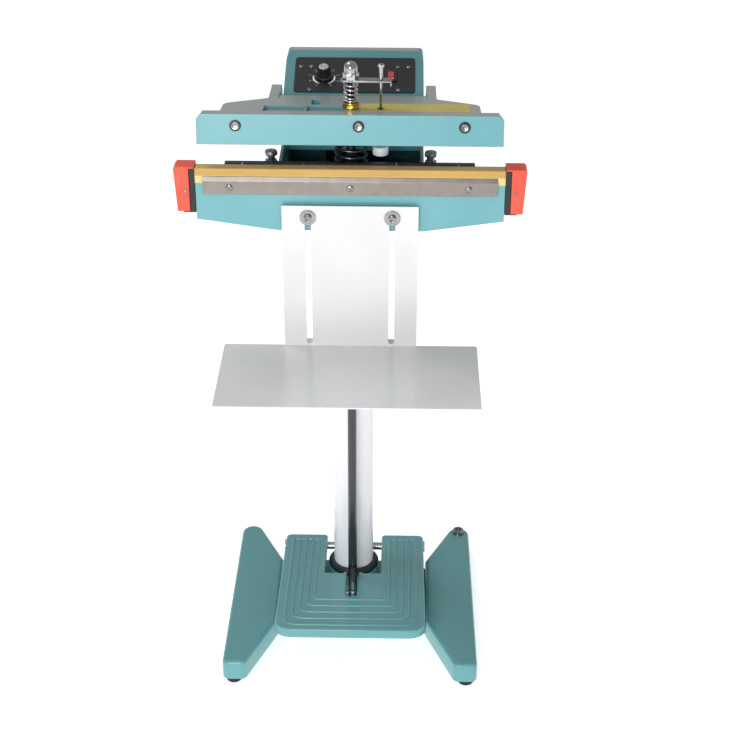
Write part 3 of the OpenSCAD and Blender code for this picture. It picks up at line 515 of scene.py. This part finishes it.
def run(tree, mesh, settings, place):
    """Runs a tree on a mesh and returns plain mesh, laid in place."""
    carrier = bpy.data.objects.new("carrier", mesh)
    scene.collection.objects.link(carrier)
    modifier = carrier.modifiers.new("tree", "NODES")
    modifier.node_group = tree
    for item in tree.interface.items_tree:
        if item.item_type == "SOCKET" and item.in_out == "INPUT" and item.name in settings:
            modifier[item.identifier] = settings[item.name]
    deps = bpy.context.evaluated_depsgraph_get()
    made = bpy.data.meshes.new_from_object(carrier.evaluated_get(deps), depsgraph=deps)
    bpy.data.objects.remove(carrier)
    moved = Matrix.Scale(MM, 4) @ place @ Matrix.Scale(1 / MM, 4)
    made.transform(moved)
    return made


def points(places):
    """A mesh of loose points, from millimetres."""
    mesh = bpy.data.meshes.new("points")
    mesh.from_pydata([[v * MM for v in p] for p in places], [], [])
    return mesh


def path(places, closed=False):
    """A mesh of one line, from millimetres."""
    mesh = bpy.data.meshes.new("path")
    links = [(i, i + 1) for i in range(len(places) - 1)] + ([(len(places) - 1, 0)] if closed else [])
    mesh.from_pydata([[v * MM for v in p] for p in places], links, [])
    return mesh


print("tree helpers ready")

# %% The row tree
ROW, given, done = tree_for("row_of_pieces", [
    ("Master", "NodeSocketObject"), ("Turn", "NodeSocketVector"), ("Seed", "NodeSocketInt"),
    ("Spin", "NodeSocketFloat"), ("Material", "NodeSocketMaterial")])
master = put(ROW, "GeometryNodeObjectInfo", {"Object": given["Master"]}).outputs["Geometry"]
set_down = put(ROW, "GeometryNodeInstanceOnPoints", {"Points": given["Geometry"], "Instance": master,
                                                     "Rotation": given["Turn"]}).outputs["Instances"]
chance = put(ROW, "FunctionNodeRandomValue", {"Min": (0, 0, 0), "Max": (0, 0, 1), "Seed": given["Seed"]},
             data_type="FLOAT_VECTOR").outputs["Value"]
spun = put(ROW, "ShaderNodeVectorMath", {0: chance, "Scale": given["Spin"]}, operation="SCALE").outputs[0]
turned = put(ROW, "GeometryNodeRotateInstances", {"Instances": set_down, "Rotation": spun})
end_tree(ROW, given, done, turned.outputs["Instances"])

# %% The bead tree
BEAD, given, done = tree_for("bead_along_a_path", [
    ("Radius", "NodeSocketFloat"), ("Sides", "NodeSocketInt"), ("Material", "NodeSocketMaterial")])
line = put(BEAD, "GeometryNodeMeshToCurve", {"Mesh": given["Geometry"]}).outputs["Curve"]
section = put(BEAD, "GeometryNodeCurvePrimitiveCircle", {"Resolution": given["Sides"],
                                                         "Radius": given["Radius"]})
swept = put(BEAD, "GeometryNodeCurveToMesh", {"Curve": line, "Profile Curve": section.outputs["Curve"],
                                              "Fill Caps": True}).outputs["Mesh"]
end_tree(BEAD, given, done, swept)

# %% The coil tree
COIL, given, done = tree_for("wound_spring", [
    ("Radius", "NodeSocketFloat"), ("Wire", "NodeSocketFloat"), ("Turns", "NodeSocketFloat"),
    ("Height", "NodeSocketFloat"), ("Steps", "NodeSocketInt"), ("Material", "NodeSocketMaterial")])


def reckon(operation, first, second=0.0, clamp=False):
    return put(COIL, "ShaderNodeMath", {0: first, 1: second}, operation=operation, use_clamp=clamp).outputs[0]


spiral = put(COIL, "GeometryNodeCurveSpiral", {"Resolution": given["Steps"], "Rotations": given["Turns"],
                                               "Start Radius": given["Radius"], "End Radius": given["Radius"],
                                               "Height": given["Height"]}).outputs["Curve"]
factor = put(COIL, "GeometryNodeSplineParameter").outputs["Factor"]
turn_number = reckon("MULTIPLY", factor, given["Turns"])
wire = reckon("MULTIPLY", given["Wire"], 2.0)
first_turn = reckon("ADD", turn_number, 0.0, clamp=True)
left_over = reckon("SUBTRACT", turn_number, reckon("SUBTRACT", given["Turns"], 1.0))
last_turn = reckon("ADD", left_over, 0.0, clamp=True)
between = reckon("SUBTRACT", reckon("SUBTRACT", turn_number, first_turn), last_turn)
free = reckon("SUBTRACT", given["Height"], reckon("MULTIPLY", wire, 3.0))
pitch = reckon("DIVIDE", free, reckon("SUBTRACT", given["Turns"], 2.0))
closed_height = reckon("MULTIPLY", reckon("ADD", first_turn, last_turn), wire)
height = reckon("ADD", reckon("ADD", given["Wire"], closed_height), reckon("MULTIPLY", between, pitch))
here = put(COIL, "ShaderNodeSeparateXYZ", {"Vector": put(COIL, "GeometryNodeInputPosition").outputs[0]})
there = put(COIL, "ShaderNodeCombineXYZ", {"X": here.outputs["X"], "Y": here.outputs["Y"], "Z": height})
wound = put(COIL, "GeometryNodeSetPosition", {"Geometry": spiral,
                                              "Position": there.outputs[0]}).outputs["Geometry"]
round_wire = put(COIL, "GeometryNodeCurvePrimitiveCircle", {"Resolution": 14, "Radius": given["Wire"]})
drawn = put(COIL, "GeometryNodeCurveToMesh", {"Curve": wound, "Profile Curve": round_wire.outputs["Curve"],
                                              "Fill Caps": True}).outputs["Mesh"]
end_tree(COIL, given, done, drawn)
print("three trees:", ROW.name, BEAD.name, COIL.name)

# %% [markdown]
# ## Base: two wings and the hub
# Each wing is a hollow casting with a generous rounded rim, because it is what people kick. The
# plan is the outline around two foot circles and the edge where it meets the hub. Its underside is
# open, with a boss over each foot. The hub and the shaft keep their functional shape.

# %% Wings
FEET = ((168, -211), (165, 104))


def wing(name, side, node):
    corners = [(FEET[1], 17), ((157.5, -216.5), 9.5), ((174, -216.5), 9.5), ((119, -122), 8),
               ((119, 27), 8)]
    samples = [Vector((c[0] + r * math.cos(t), c[1] + r * math.sin(t)))
               for c, r in corners for t in (2 * math.pi * k / 48 for k in range(48))]
    plan = [tuple(samples[i]) for i in geometry.convex_hull_2d(samples)]
    if sum(a[0] * b[1] - b[0] * a[1] for a, b in zip(plan, plan[1:] + plan[:1])) < 0:
        plan.reverse()
    work = bmesh.new()
    mirrored = STAND @ Matrix.Diagonal((side, 1, 1, 1))
    profile = [(5, 35), (5, 10.6), (4.4, 10), (0.8, 10)] + edge_profile(10, 41, 0.8, 6, steps=6)[1:]
    add_plan(work, plan, profile, mirrored)
    for x, y in FEET:
        add_rings(work, [(circle, 9, 10), (circle, 9, 37)], mirrored @ at(x, y, 0), sides=32)
    return show(name, solid(work, name), "stand", ENAMEL_BASE, node, crease=50)


wing("left_wing_casting", -1, "left_wing")
wing("right_wing_casting", 1, "right_wing")

# %% [markdown]
# ## Pedal
# The tread is one casting: a plate with a notch round the column, a slot for the fork, two bosses
# on the shaft and two lugs for the fork pin. Five nested ridges keep a shoe from slipping. They lie
# 10 mm apart at the sides and 18 mm apart at the toe, and run into a cross ridge at the heel. Each
# is a round bar sunk into the plate by the bead tree, which gives the soft root of a cast ridge.

# %% The pedal casting and its ridges
plan = filleted([(-108, -278, 24), (108, -278, 24), (108, 12, 9), (42.5, 12, 6), (42.5, -112, 3.5),
                 (8.3, -112, 3), (8.3, -182.3, 8.2), (-8.3, -182.3, 8.2), (-8.3, -112, 3),
                 (-42.5, -112, 3.5), (-42.5, 12, 6), (-108, 12, 9)])
work = bmesh.new()
add_plan(work, plan, edge_profile(0, 14, 1, 2.6), PEDAL)
for x in (-104, 48):
    add_rings(work, [(circle, 9.8, 0), (circle, 11, 1.2), (circle, 11, 54.8), (circle, 9.8, 56)],
              PEDAL @ at(x, 0, 0) @ SIDE)
for x in (-11.5, 11.5):
    lug = [(x - 2.4, -149, 1), (x + 2.4, -149, 1), (x + 2.4, -101, 1), (x - 2.4, -101, 1)]
    add_plan(work, filleted(lug, steps=2), edge_profile(-6, 9, 1, 0.2), PEDAL)
show("pedal_casting", solid(work, "pedal_casting"), "pedal", ENAMEL_BASE, "pedal", crease=50)

RIDGE_R, RIDGE_SINK = 2.4, 0.4
ridges = bmesh.new()
for i in range(5):
    across, toe = 95 - 10 * i, -265 + 18 * i
    bend = 17 - 3 * i
    u_line = filleted([(-across, -6, 0), (-across, toe, bend), (across, toe, bend), (across, -6, 0)],
                      closed=False)
    line = path([(x, y, 14 - RIDGE_SINK) for x, y in u_line])
    bar = run(BEAD, line, {"Radius": RIDGE_R * MM, "Sides": 16, "Material": ENAMEL_BASE}, PEDAL)
    ridges.from_mesh(bar)
for side in (-1, 1):
    line = path([(side * 95, -6, 14 - RIDGE_SINK), (side * 55, -6, 14 - RIDGE_SINK)])
    ridges.from_mesh(run(BEAD, line, {"Radius": RIDGE_R * MM, "Sides": 16, "Material": ENAMEL_BASE}, PEDAL))
mesh = bpy.data.meshes.new("pedal_ridges")
ridges.to_mesh(mesh)
ridges.free()
show("pedal_ridges", mesh, "pedal", ENAMEL_BASE, crease=60)

# %% [markdown]
# ## Screws, bolts and feet
# Socket cap screws have a knurled or plain drum with a hexagon hole, panel screws a low dome with a
# cross, and the stop bolts a chamfered hexagon over a lock nut. Each kind is one stack of rings, and
# the row tree sets it wherever the model has one. A worn driver recess is dark at the bottom by its
# own depth, so it needs no black paint.

# %% Fasteners
def socket_head(radius, height, key, length=6):
    return [(circle, radius * 0.55, -length), (circle, radius * 0.55, 0), (circle, radius * 0.96, 0),
            (circle, radius, height * 0.08), (circle, radius, height * 0.84), (circle, radius * 0.9, height),
            (circle, key * 1.12, height), (hexagon, key, height * 0.93), (hexagon, key, height * 0.35),
            (hexagon, key * 0.2, height * 0.28)]


def cross_head(radius, height, length=5):
    return [(circle, radius * 0.5, -length), (circle, radius * 0.5, 0), (circle, radius, 0),
            (circle, radius, height * 0.3), (circle, radius * 0.93, height * 0.66),
            (circle, radius * 0.76, height * 0.92), (cross, radius * 0.6, height),
            (cross, radius * 0.5, height * 0.35), (circle, radius * 0.05, height * 0.25)]


def stop_bolt():
    corner = 15 / 2 / math.cos(math.pi / 6)
    return [(circle, 7.2, 0), (hexagon, corner, 0.9), (hexagon, corner, 7.1), (circle, 7.2, 8),
            (circle, 5, 8), (circle, 5, 14.5), (circle, 7.3, 14.5), (circle, 7.3, 14.8),
            (hexagon, corner, 15), (hexagon, corner, 19.5), (circle, 7.2, 20.4), (circle, 6.6, 20.5)]


def row(name, rings, places, turn, place, body, finish, *stands_for, seed=3, spin=6.3, sides=48, crease=34):
    """One turned master piece set at every place in a row by the row tree."""
    work = bmesh.new()
    add_rings(work, rings, Matrix.Identity(4), sides)
    model = bpy.data.objects.new("master", solid(work, "master"))
    scene.collection.objects.link(model)
    settings = {"Master": model, "Turn": turn, "Seed": seed, "Spin": spin, "Material": finish}
    mesh = run(ROW, points(places), settings, place)
    bpy.data.objects.remove(model)
    return show(name, mesh, body, finish, *stands_for, crease=crease)


FORWARD, BACKWARD, UPWARD = (math.radians(90), 0, 0), (math.radians(-90), 0, 0), (0, 0, 0)
BAR_SCREW_Z, STRIP_SCREW_Z, TABLE_SCREW_Z = 778.3, 726.5, 687.5
BAR_SCREWS = [(x, -REACH, BAR_SCREW_Z) for x in (-145.6, 10.9, 145.7)]
row("bar_cap_screws", socket_head(5, 3, 3), BAR_SCREWS, FORWARD, ARM, "arm", ZINC, "bar_screws", seed=5)
ring = [(circle, 5.25, 0), (circle, 7.4, 0), (circle, 7.4, 0.7), (circle, 6.9, 1.2), (circle, 5.6, 1.2),
        (circle, 5.25, 0.7)]
row("bar_screw_rings", ring, BAR_SCREWS, FORWARD, ARM, "arm", KNOB_BLACK, "screw_rings", spin=0)
row("clamp_strip_screws", cross_head(4.6, 1.9), [(x, -REACH - 3.4, STRIP_SCREW_Z) for x in (-156, 0, 153)],
            FORWARD, STAND, "stand", ZINC, seed=8)
row("rear_strip_screws", cross_head(3, 1.6), [(x, -88, SEAL - 1.1) for x in (-140, -61, 59, 140)], UPWARD,
    STAND, "stand", ZINC, "strip_screws", seed=2)
row("end_cap_screws", cross_head(2.4, 1.2), [(s * 213, -REACH - 2.5, 720.6) for s in (-1, 1)], FORWARD,
    STAND, "stand", ZINC, "cap_screws", seed=4)
row("stop_bolts_and_nuts", stop_bolt(), [(s * 104, -70, 741.5) for s in (-1, 1)], UPWARD, STAND, "stand",
    DARK_ZINC, "stop_bolts", seed=6)
row("rear_cover_screws", cross_head(3.2, 1.8), [(x, 173.4, z) for x in (-86, 86) for z in (712, 808.1)],
    BACKWARD, STAND, "stand", ZINC, "cover_screws", seed=9)
PANEL_POINTS = [(-74, 63.5), (-59.5, 63.5), (60, 63.5), (75, 63.5), (-60, 12), (61, 12)]
row("control_panel_screws", cross_head(3, 1.5), [(x, u, 1.5) for x, u in PANEL_POINTS], UPWARD,
    on_panel(0, 0), "stand", ZINC, "panel_screws", seed=7)
row("table_cap_screws", socket_head(5, 4.5, 2.6), [(s * 55, -117.9, TABLE_SCREW_Z) for s in (-1, 1)],
    FORWARD, STAND, "stand", DARK_ZINC, seed=5)
washer = [(circle, 4.6, 0), (circle, 10, 0), (circle, 10.4, 0.4), (circle, 10.4, 1.6), (circle, 10, 2),
          (circle, 4.6, 2)]
row("table_washers", washer, [(s * 55, -115.9, TABLE_SCREW_Z) for s in (-1, 1)], FORWARD, STAND,
    "stand", ZINC, "table_screws", spin=0)
for side, label in ((-1, "left"), (1, "right")):
    row(label + "_wing_bolts", socket_head(7, 8, 3.6, 8), [(side * 116, y, 18) for y in (-100, 5)],
        (0, side * math.radians(90), 0), STAND, "stand", BLACKENED,
        *(["wing_bolts"] if side > 0 else []), seed=4)
foot = [(circle, 10.4, 0), (circle, 11, 0.6), (circle, 12, 3.2), (circle, 11.6, 3.6), (circle, 11.6, 4.6),
        (circle, 12.4, 5), (circle, 13, 9.4), (circle, 12.5, 10)]
row("moulded_feet", foot, [(s * x, y, 0) for s in (-1, 1) for x, y in FEET], UPWARD, STAND,
    "stand", FOOT_RUBBER, "rubber_feet")

# %% [markdown]
# ## Springs
# The return spring lifts the arm: 4 mm wire, wound on 40 mm. The short spring at the top of the rod
# sets the sealing pressure and gives way when the jaws are shut. Both are wound with their end turns
# closed and an even pitch between. The return spring's foot stands in the casting. The pressure spring
# rides on the rod under the nut: the rod goes 27.2 mm down and the seat's rim only 24.3, so the foot is
# pushed up.

# %% Wind the springs
def spring(name, radius, wire_r, turns, length, foot, finish, body, node):
    start = points([(0, 0, 0)])
    settings = {"Radius": radius * MM, "Wire": wire_r * MM, "Turns": turns, "Height": length * MM,
                "Steps": 28, "Material": finish}
    mesh = run(COIL, start, settings, STAND @ at(0, -60, foot))
    piece = show(name, mesh, body, finish, node, crease=60)
    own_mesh(piece)
    return piece


low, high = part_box("return_spring")
spring("arm_return_spring", 20.2, 2, 12.4, (high.z - low.z) / MM, low.z / MM, SPRING_DARK, "stand",
       "return_spring")
low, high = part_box("pressure_spring")
spring("sealing_pressure_spring", 8.1, 1.45, 5.2, (high.z - low.z) / MM, low.z / MM, SPRING_BRIGHT, "rod",
       "pressure_spring")

# %% [markdown]
# ## Rod, nut, trip pin and seat
# The rod is turned down and threaded at the top, and the bead tree lays the thread as one long
# helix. The domed nut is chrome plated over a chamfered hexagon. The trip pin carries a sleeve and a
# soft nylon tip that lands on the microswitch before the jaws touch. The seat is a brass ring with a
# fine straight knurl.

# %% Turned pieces
def turned_piece(name, rings, place, body, finish, *stands_for, sides=64, crease=34):
    work = bmesh.new()
    add_rings(work, rings, place, sides)
    return show(name, solid(work, name), body, finish, *stands_for, crease=crease)


ROD = STAND @ at(0, -60, 0)
turned_piece("drawn_pull_rod", [(circle, 6, 84), (circle, 6.5, 84.6), (circle, 6.5, 795), (circle, 5.6, 796),
                                (circle, 4.7, 796.5), (circle, 4.7, 867)],
             ROD, "rod", ROD_LACQUER, "pull_rod")
helix = path([(4.6 * math.cos(k * math.pi / 12), 4.6 * math.sin(k * math.pi / 12), 797 + k * 1.5 / 24)
              for k in range(24 * 37)])
mesh = run(BEAD, helix, {"Radius": 0.38 * MM, "Sides": 6, "Material": BLACKENED}, ROD)
show("rod_thread", mesh, "rod", BLACKENED, crease=60)
nut_corner = 9 / math.cos(math.pi / 6)
dome = [(circle, 8.6 * math.cos(t), 15 + 8.6 * math.sin(t))
        for t in (math.pi / 2 * k / 12 for k in range(12))]
turned_piece("domed_nut", [(circle, 8.8, 0), (hexagon, nut_corner, 0.7), (hexagon, nut_corner, 8.3),
                           (circle, 8.8, 9), (circle, 8.2, 9.3), (circle, 8.6, 9.8)] + dome,
             ROD @ at(0, 0, 856), "rod", CHROME, "dome_nut", sides=72)
TRIP = STAND @ at(38.5, -60, 0)
turned_piece("trip_pin_and_sleeve", [(circle, 1.6, 785), (circle, 2, 785.6), (circle, 2, 856),
                                     (circle, 2.6, 856.1),
                                     (circle, 2.6, 871.9), (circle, 3.7, 872), (circle, 4, 872.4),
                                     (circle, 4, 875.6), (circle, 3.5, 876), (hexagon, 2, 876),
                                     (hexagon, 1.9, 873.6)],
             TRIP, "rod", CHROME, sides=36)
low_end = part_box("trip_pin")[0].z / MM
turned_piece("trip_pin_shank", [(circle, 1.5, low_end), (circle, 2, low_end + 0.6), (circle, 2, 785.6),
                                (circle, 1.6, 786)], TRIP, "rod", CHROME, "trip_pin", sides=36)
turned_piece("nylon_trip_tip", [(circle, 8.6, 754), (circle, 10, 754.8), (circle, 10.5, 756.6),
                                (circle, 10.5, 763.6), (circle, 9.8, 765.4), (circle, 8.4, 766),
                                (circle, 3, 766)], TRIP, "rod", NYLON, "trip_tip")
SEAT = ARM @ at(0, -62.4, 793.1)
knurl = fluted(45, 0.03)
turned_piece("knurled_spring_seat", [(circle, 9.9, 0), (circle, 10.3, 0), (circle, 10.5, 0.5),
                                     (circle, 10.5, 1.5), (knurl, 10.6, 1.8), (knurl, 10.6, 6.2),
                                     (circle, 10.5, 6.5), (circle, 10.5, 7.5), (circle, 10.3, 8),
                                     (circle, 9.9, 8),
                                     (circle, 9.9, 0.5)], SEAT, "arm", BRASS, "spring_seat", sides=180)

# %% Trip plate
work = bmesh.new()
bar = filleted([(-14, -66.5, 5), (52.4, -66.5, 1.5), (52.4, -53.5, 1.5), (-14, -53.5, 5)])
add_plan(work, bar, edge_profile(853.1, 855.9, 0.5, 0.5), STAND)
tab = filleted([(50.2, -66.5, 0.4), (52.4, -66.5, 0.4), (52.4, -53.5, 0.4), (50.2, -53.5, 0.4)], steps=2)
add_plan(work, tab, edge_profile(848.1, 854, 0.5, 0.1), STAND)
show("trip_lever_plate", solid(work, "trip_lever_plate"), "rod", ZINC, "trip_plate")

# %% [markdown]
# ## Knob and dial
# The timer knob is black phenolic with shallow flutes, a spun metal cap and a white index line. The
# dial under it is screen printed: two swept arcs that thin out at their ends, a ring of ticks, and
# plain numerals.

# %% The knob
KNOB = on_panel(-41.5, 39, 1.9)
flutes = fluted(20, 0.07)
turned_piece("fluted_knob", [(circle, 10.2, 0), (circle, 10.5, 0.4), (circle, 10.5, 2.4), (circle, 9.9, 3),
                             (flutes, 9.5, 3.6), (flutes, 8.1, 16.1), (circle, 7.4, 17.7),
                             (circle, 6.9, 18.1)],
             KNOB, "knob", KNOB_BLACK, "knob", sides=160)
turned_piece("knob_cap", [(circle, 6.6, 17.7), (circle, 6.6, 18.4), (circle, 6.3, 18.5),
                          (circle, 5.2, 18.35)],
             KNOB, "knob", SPUN, sides=64)
work = bmesh.new()
add_plan(work, [(-0.45, 7.2), (0.45, 7.2), (0.45, 10.3), (-0.45, 10.3)], [(0, 2.2), (0, 3.2)], KNOB)
add_plan(work, [(-0.4, 3.2), (0.4, 3.2), (0.4, 6.4), (-0.4, 6.4)], [(0, 18.1), (0, 18.49)], KNOB)
show("knob_index", solid(work, "knob_index"), "knob", PRINT_WHITE)

# %% The printed dial
DIAL = on_panel(-41.5, 39, 1.5)
work = bmesh.new()
for side in (-1, 1):
    turns = [math.radians(-66 + 83 * k / 28) for k in range(29)]
    half = [1.15 * math.sin(math.pi * k / 28) ** 0.6 + 0.15 for k in range(29)]
    outer = [(side * (14.6 + h) * math.cos(t), (14.6 + h) * math.sin(t)) for t, h in zip(turns, half)]
    inner = [(side * (14.6 - h) * math.cos(t), (14.6 - h) * math.sin(t)) for t, h in zip(turns, half)]
    sweep = outer + inner[::-1]
    add_plan(work, sweep if side > 0 else sweep[::-1], [(0, 0), (0, 0.1)], DIAL)
for k in range(9):
    turn = math.radians(-60 + k * 37.5)
    tick = [(-0.9, -0.25), (0.9, -0.25), (0.9, 0.25), (-0.9, 0.25)]
    add_plan(work, tick, [(0, 0), (0, 0.1)], DIAL @ at(0, 0, 0, turn, "Z") @ at(17.6, 0, 0))
show("dial_print", solid(work, "dial_print"), "stand", PRINT_WHITE)
for number in range(9):
    turn = math.radians(240 - number * 37.5)
    letter = bpy.data.curves.new("numeral", "FONT")
    letter.body = str(number + 1)
    letter.size = 3.4
    letter.extrude = 0.05
    letter.align_x, letter.align_y = "CENTER", "CENTER"
    glyph = bpy.data.objects.new("numeral", letter)
    scene.collection.objects.link(glyph)
    mesh = bpy.data.meshes.new_from_object(glyph)
    mesh.transform(Matrix.Scale(MM, 4) @ DIAL @ at(20.8 * math.cos(turn), 20.8 * math.sin(turn), 0.06))
    bpy.data.objects.remove(glyph)
    show("dial_numeral_" + str(number + 1), mesh, "stand", PRINT_WHITE)

# %% [markdown]
# ## The cover cloth
# One strip of coated cloth lies over the hot ribbon and is folded down in front, where the clamp
# strip holds it. It is stretched, so it needs no simulation: a few tenths of a millimetre of
# waviness along its length are what a stretched strip shows. The fold has a real radius, the strip
# is cut to its flat size, and a solidify gives it the thickness of the cloth.

# %% Lay the cloth
CLOTH_LENGTH, CLOTH_DEPTH, FOLD, THICK = 400.8, 14.8, 1.1, 0.22
FACE, TOP = -REACH - 0.36, SEAL - 0.02
section = [(-REACH + CLOTH_DEPTH - k * 1.71, TOP) for k in range(8)]
fold = [math.radians(90 + 15 * k) for k in range(7)]
section += [(FACE + FOLD + FOLD * math.cos(t), TOP - FOLD + FOLD * math.sin(t)) for t in fold]
section += [(FACE, TOP - FOLD - k * 2.4) for k in range(1, 9)]
places = [(x, y, z) for x in [CLOTH_LENGTH * (i / 160 - 0.5) for i in range(161)] for y, z in section]
places = [Vector((x, y, z - 0.05 * (1 + noise.noise(Vector((x * 0.03, y * 0.02, z * 0.02))))))
          for x, y, z in places]
step = len(section)
quads = [(i * step + j, i * step + j + 1, (i + 1) * step + j + 1, (i + 1) * step + j)
         for i in range(160) for j in range(step - 1)]
mesh = bpy.data.meshes.new("cover_cloth_strip")
mesh.from_pydata([STAND @ p * MM for p in places], [], quads)
cloth = show("cover_cloth_strip", mesh, "stand", CLOTH_GOLD, "cover_cloth", crease=60)
thickness = cloth.modifiers.new("cloth", "SOLIDIFY")
thickness.thickness = THICK * MM
thickness.offset = 0

# %% [markdown]
# ## Parts that keep their own shape
# The rest already has its final shape in the model: milled, folded or moulded pieces with plain
# edges. They get their finish, and its worn edge does the rounding.

# %% Finishes
PLAIN = {
    "jaw_body": ENAMEL_HEAD, "upper_arm": ENAMEL_HEAD, "base_beam": ENAMEL_BASE, "left_cap": CAP_RED,
    "right_cap": CAP_RED, "end_insulators": PHENOLIC, "clamp_strip": STAINLESS, "rear_strip": PHENOLIC,
    "table_top": TABLE_WHITE, "table_back": TABLE_WHITE, "control_panel": PANEL_BLACK, "rod_fork": BLACKENED,
    "heater_bar": MILLED, "levelling_bolt": ZINC, "column": COLUMN_WHITE,
    "column_collar": COLLAR_DARK_WITH_PAINTED_SHADE, "column_screws": BLACKENED, "pedal_shaft": GROUND, "hinge_shaft": GROUND,
    "heating_ribbon": STAINLESS, "underlay_tape": TAPE_WHITE, "terminal_blocks": BRASS,
    "switch_bezel": KNOB_BLACK, "rear_cover": PANEL_BLACK, "transformer": BLACKENED,
    "timer_board": BOARD_GREEN,
    "potentiometer": MILLED, "microswitch": PHENOLIC, "cord_inlet": PHENOLIC, "pad_holder": MILLED,
    "silicone_pad": SILICONE, "label_strip": LABEL_YELLOW, "hinge_bushes": BRASS, "pedal_bushes": BRASS,
    "fork_pin": GROUND, "rocker": ROCKER_RED,
}
for name, finish in PLAIN.items():
    NODES[name].data.materials.clear()
    NODES[name].data.materials.append(finish)
print("finished", len(PLAIN), "plain parts")

# %% [markdown]
# ## Studio
# The machine stands on a backlit white table, as small machines do for a catalogue: the floor glows
# a little, so it stays white without a strong light from above. One very large soft light in front
# makes the front faces the brightest and leaves the level tops calm. A smaller one near the eye looks
# under the arm and lights the return spring. A third stands above and behind, and draws the foot
# ridges and the upper edges with a fine highlight.

# %% Floor and light
floor_mesh = bpy.data.meshes.new("floor")
floor_mesh.from_pydata([(-6, -6, 0), (6, -6, 0), (6, 6, 0), (-6, 6, 0)], [], [(0, 1, 2, 3)])
floor = bpy.data.objects.new("floor", floor_mesh)
scene.collection.objects.link(floor)
pale, tree, where = material("backlit_white_acrylic_table")
tone = ramp(tree, grain(tree, where, 400, detail=2), [(0.3, linear("F6F6F5")), (0.7, linear("FBFBFB"))])
close(tree, grain(tree, where, 3), 0.1, 0.05, Base_Color=tone, Roughness=0.6, IOR=1.45,
      Emission_Color=linear("FFFFFF"), Emission_Strength=0.6)
floor_mesh.materials.append(pale)

world = bpy.data.worlds.new("surround")
world.use_nodes = True
scene.world = world
world.node_tree.nodes["Background"].inputs["Color"].default_value = linear("FFFFFF")
world.node_tree.nodes["Background"].inputs["Strength"].default_value = 0.42


def soft_light(name, place, target, size, watts):
    light = bpy.data.lights.new(name, "AREA")
    light.shape = "DISK"
    light.size = size
    light.energy = watts
    lamp = bpy.data.objects.new(name, light)
    lamp.location = place
    lamp.rotation_euler = (Vector(target) - Vector(place)).to_track_quat("-Z", "Y").to_euler()
    scene.collection.objects.link(lamp)


soft_light("front", (-0.9, -3.2, 1.6), (0, 0, 0.6), 2.0, 24)
soft_light("near_the_eye", (-0.35, -2.6, 1.35), (0, 0, 0.65), 0.8, 22)
soft_light("above", (-0.9, 0.5, 2.4), (0, 0, 0.3), 0.7, 10)
scene.view_settings.view_transform = "Standard"
print("floor and three soft lights")
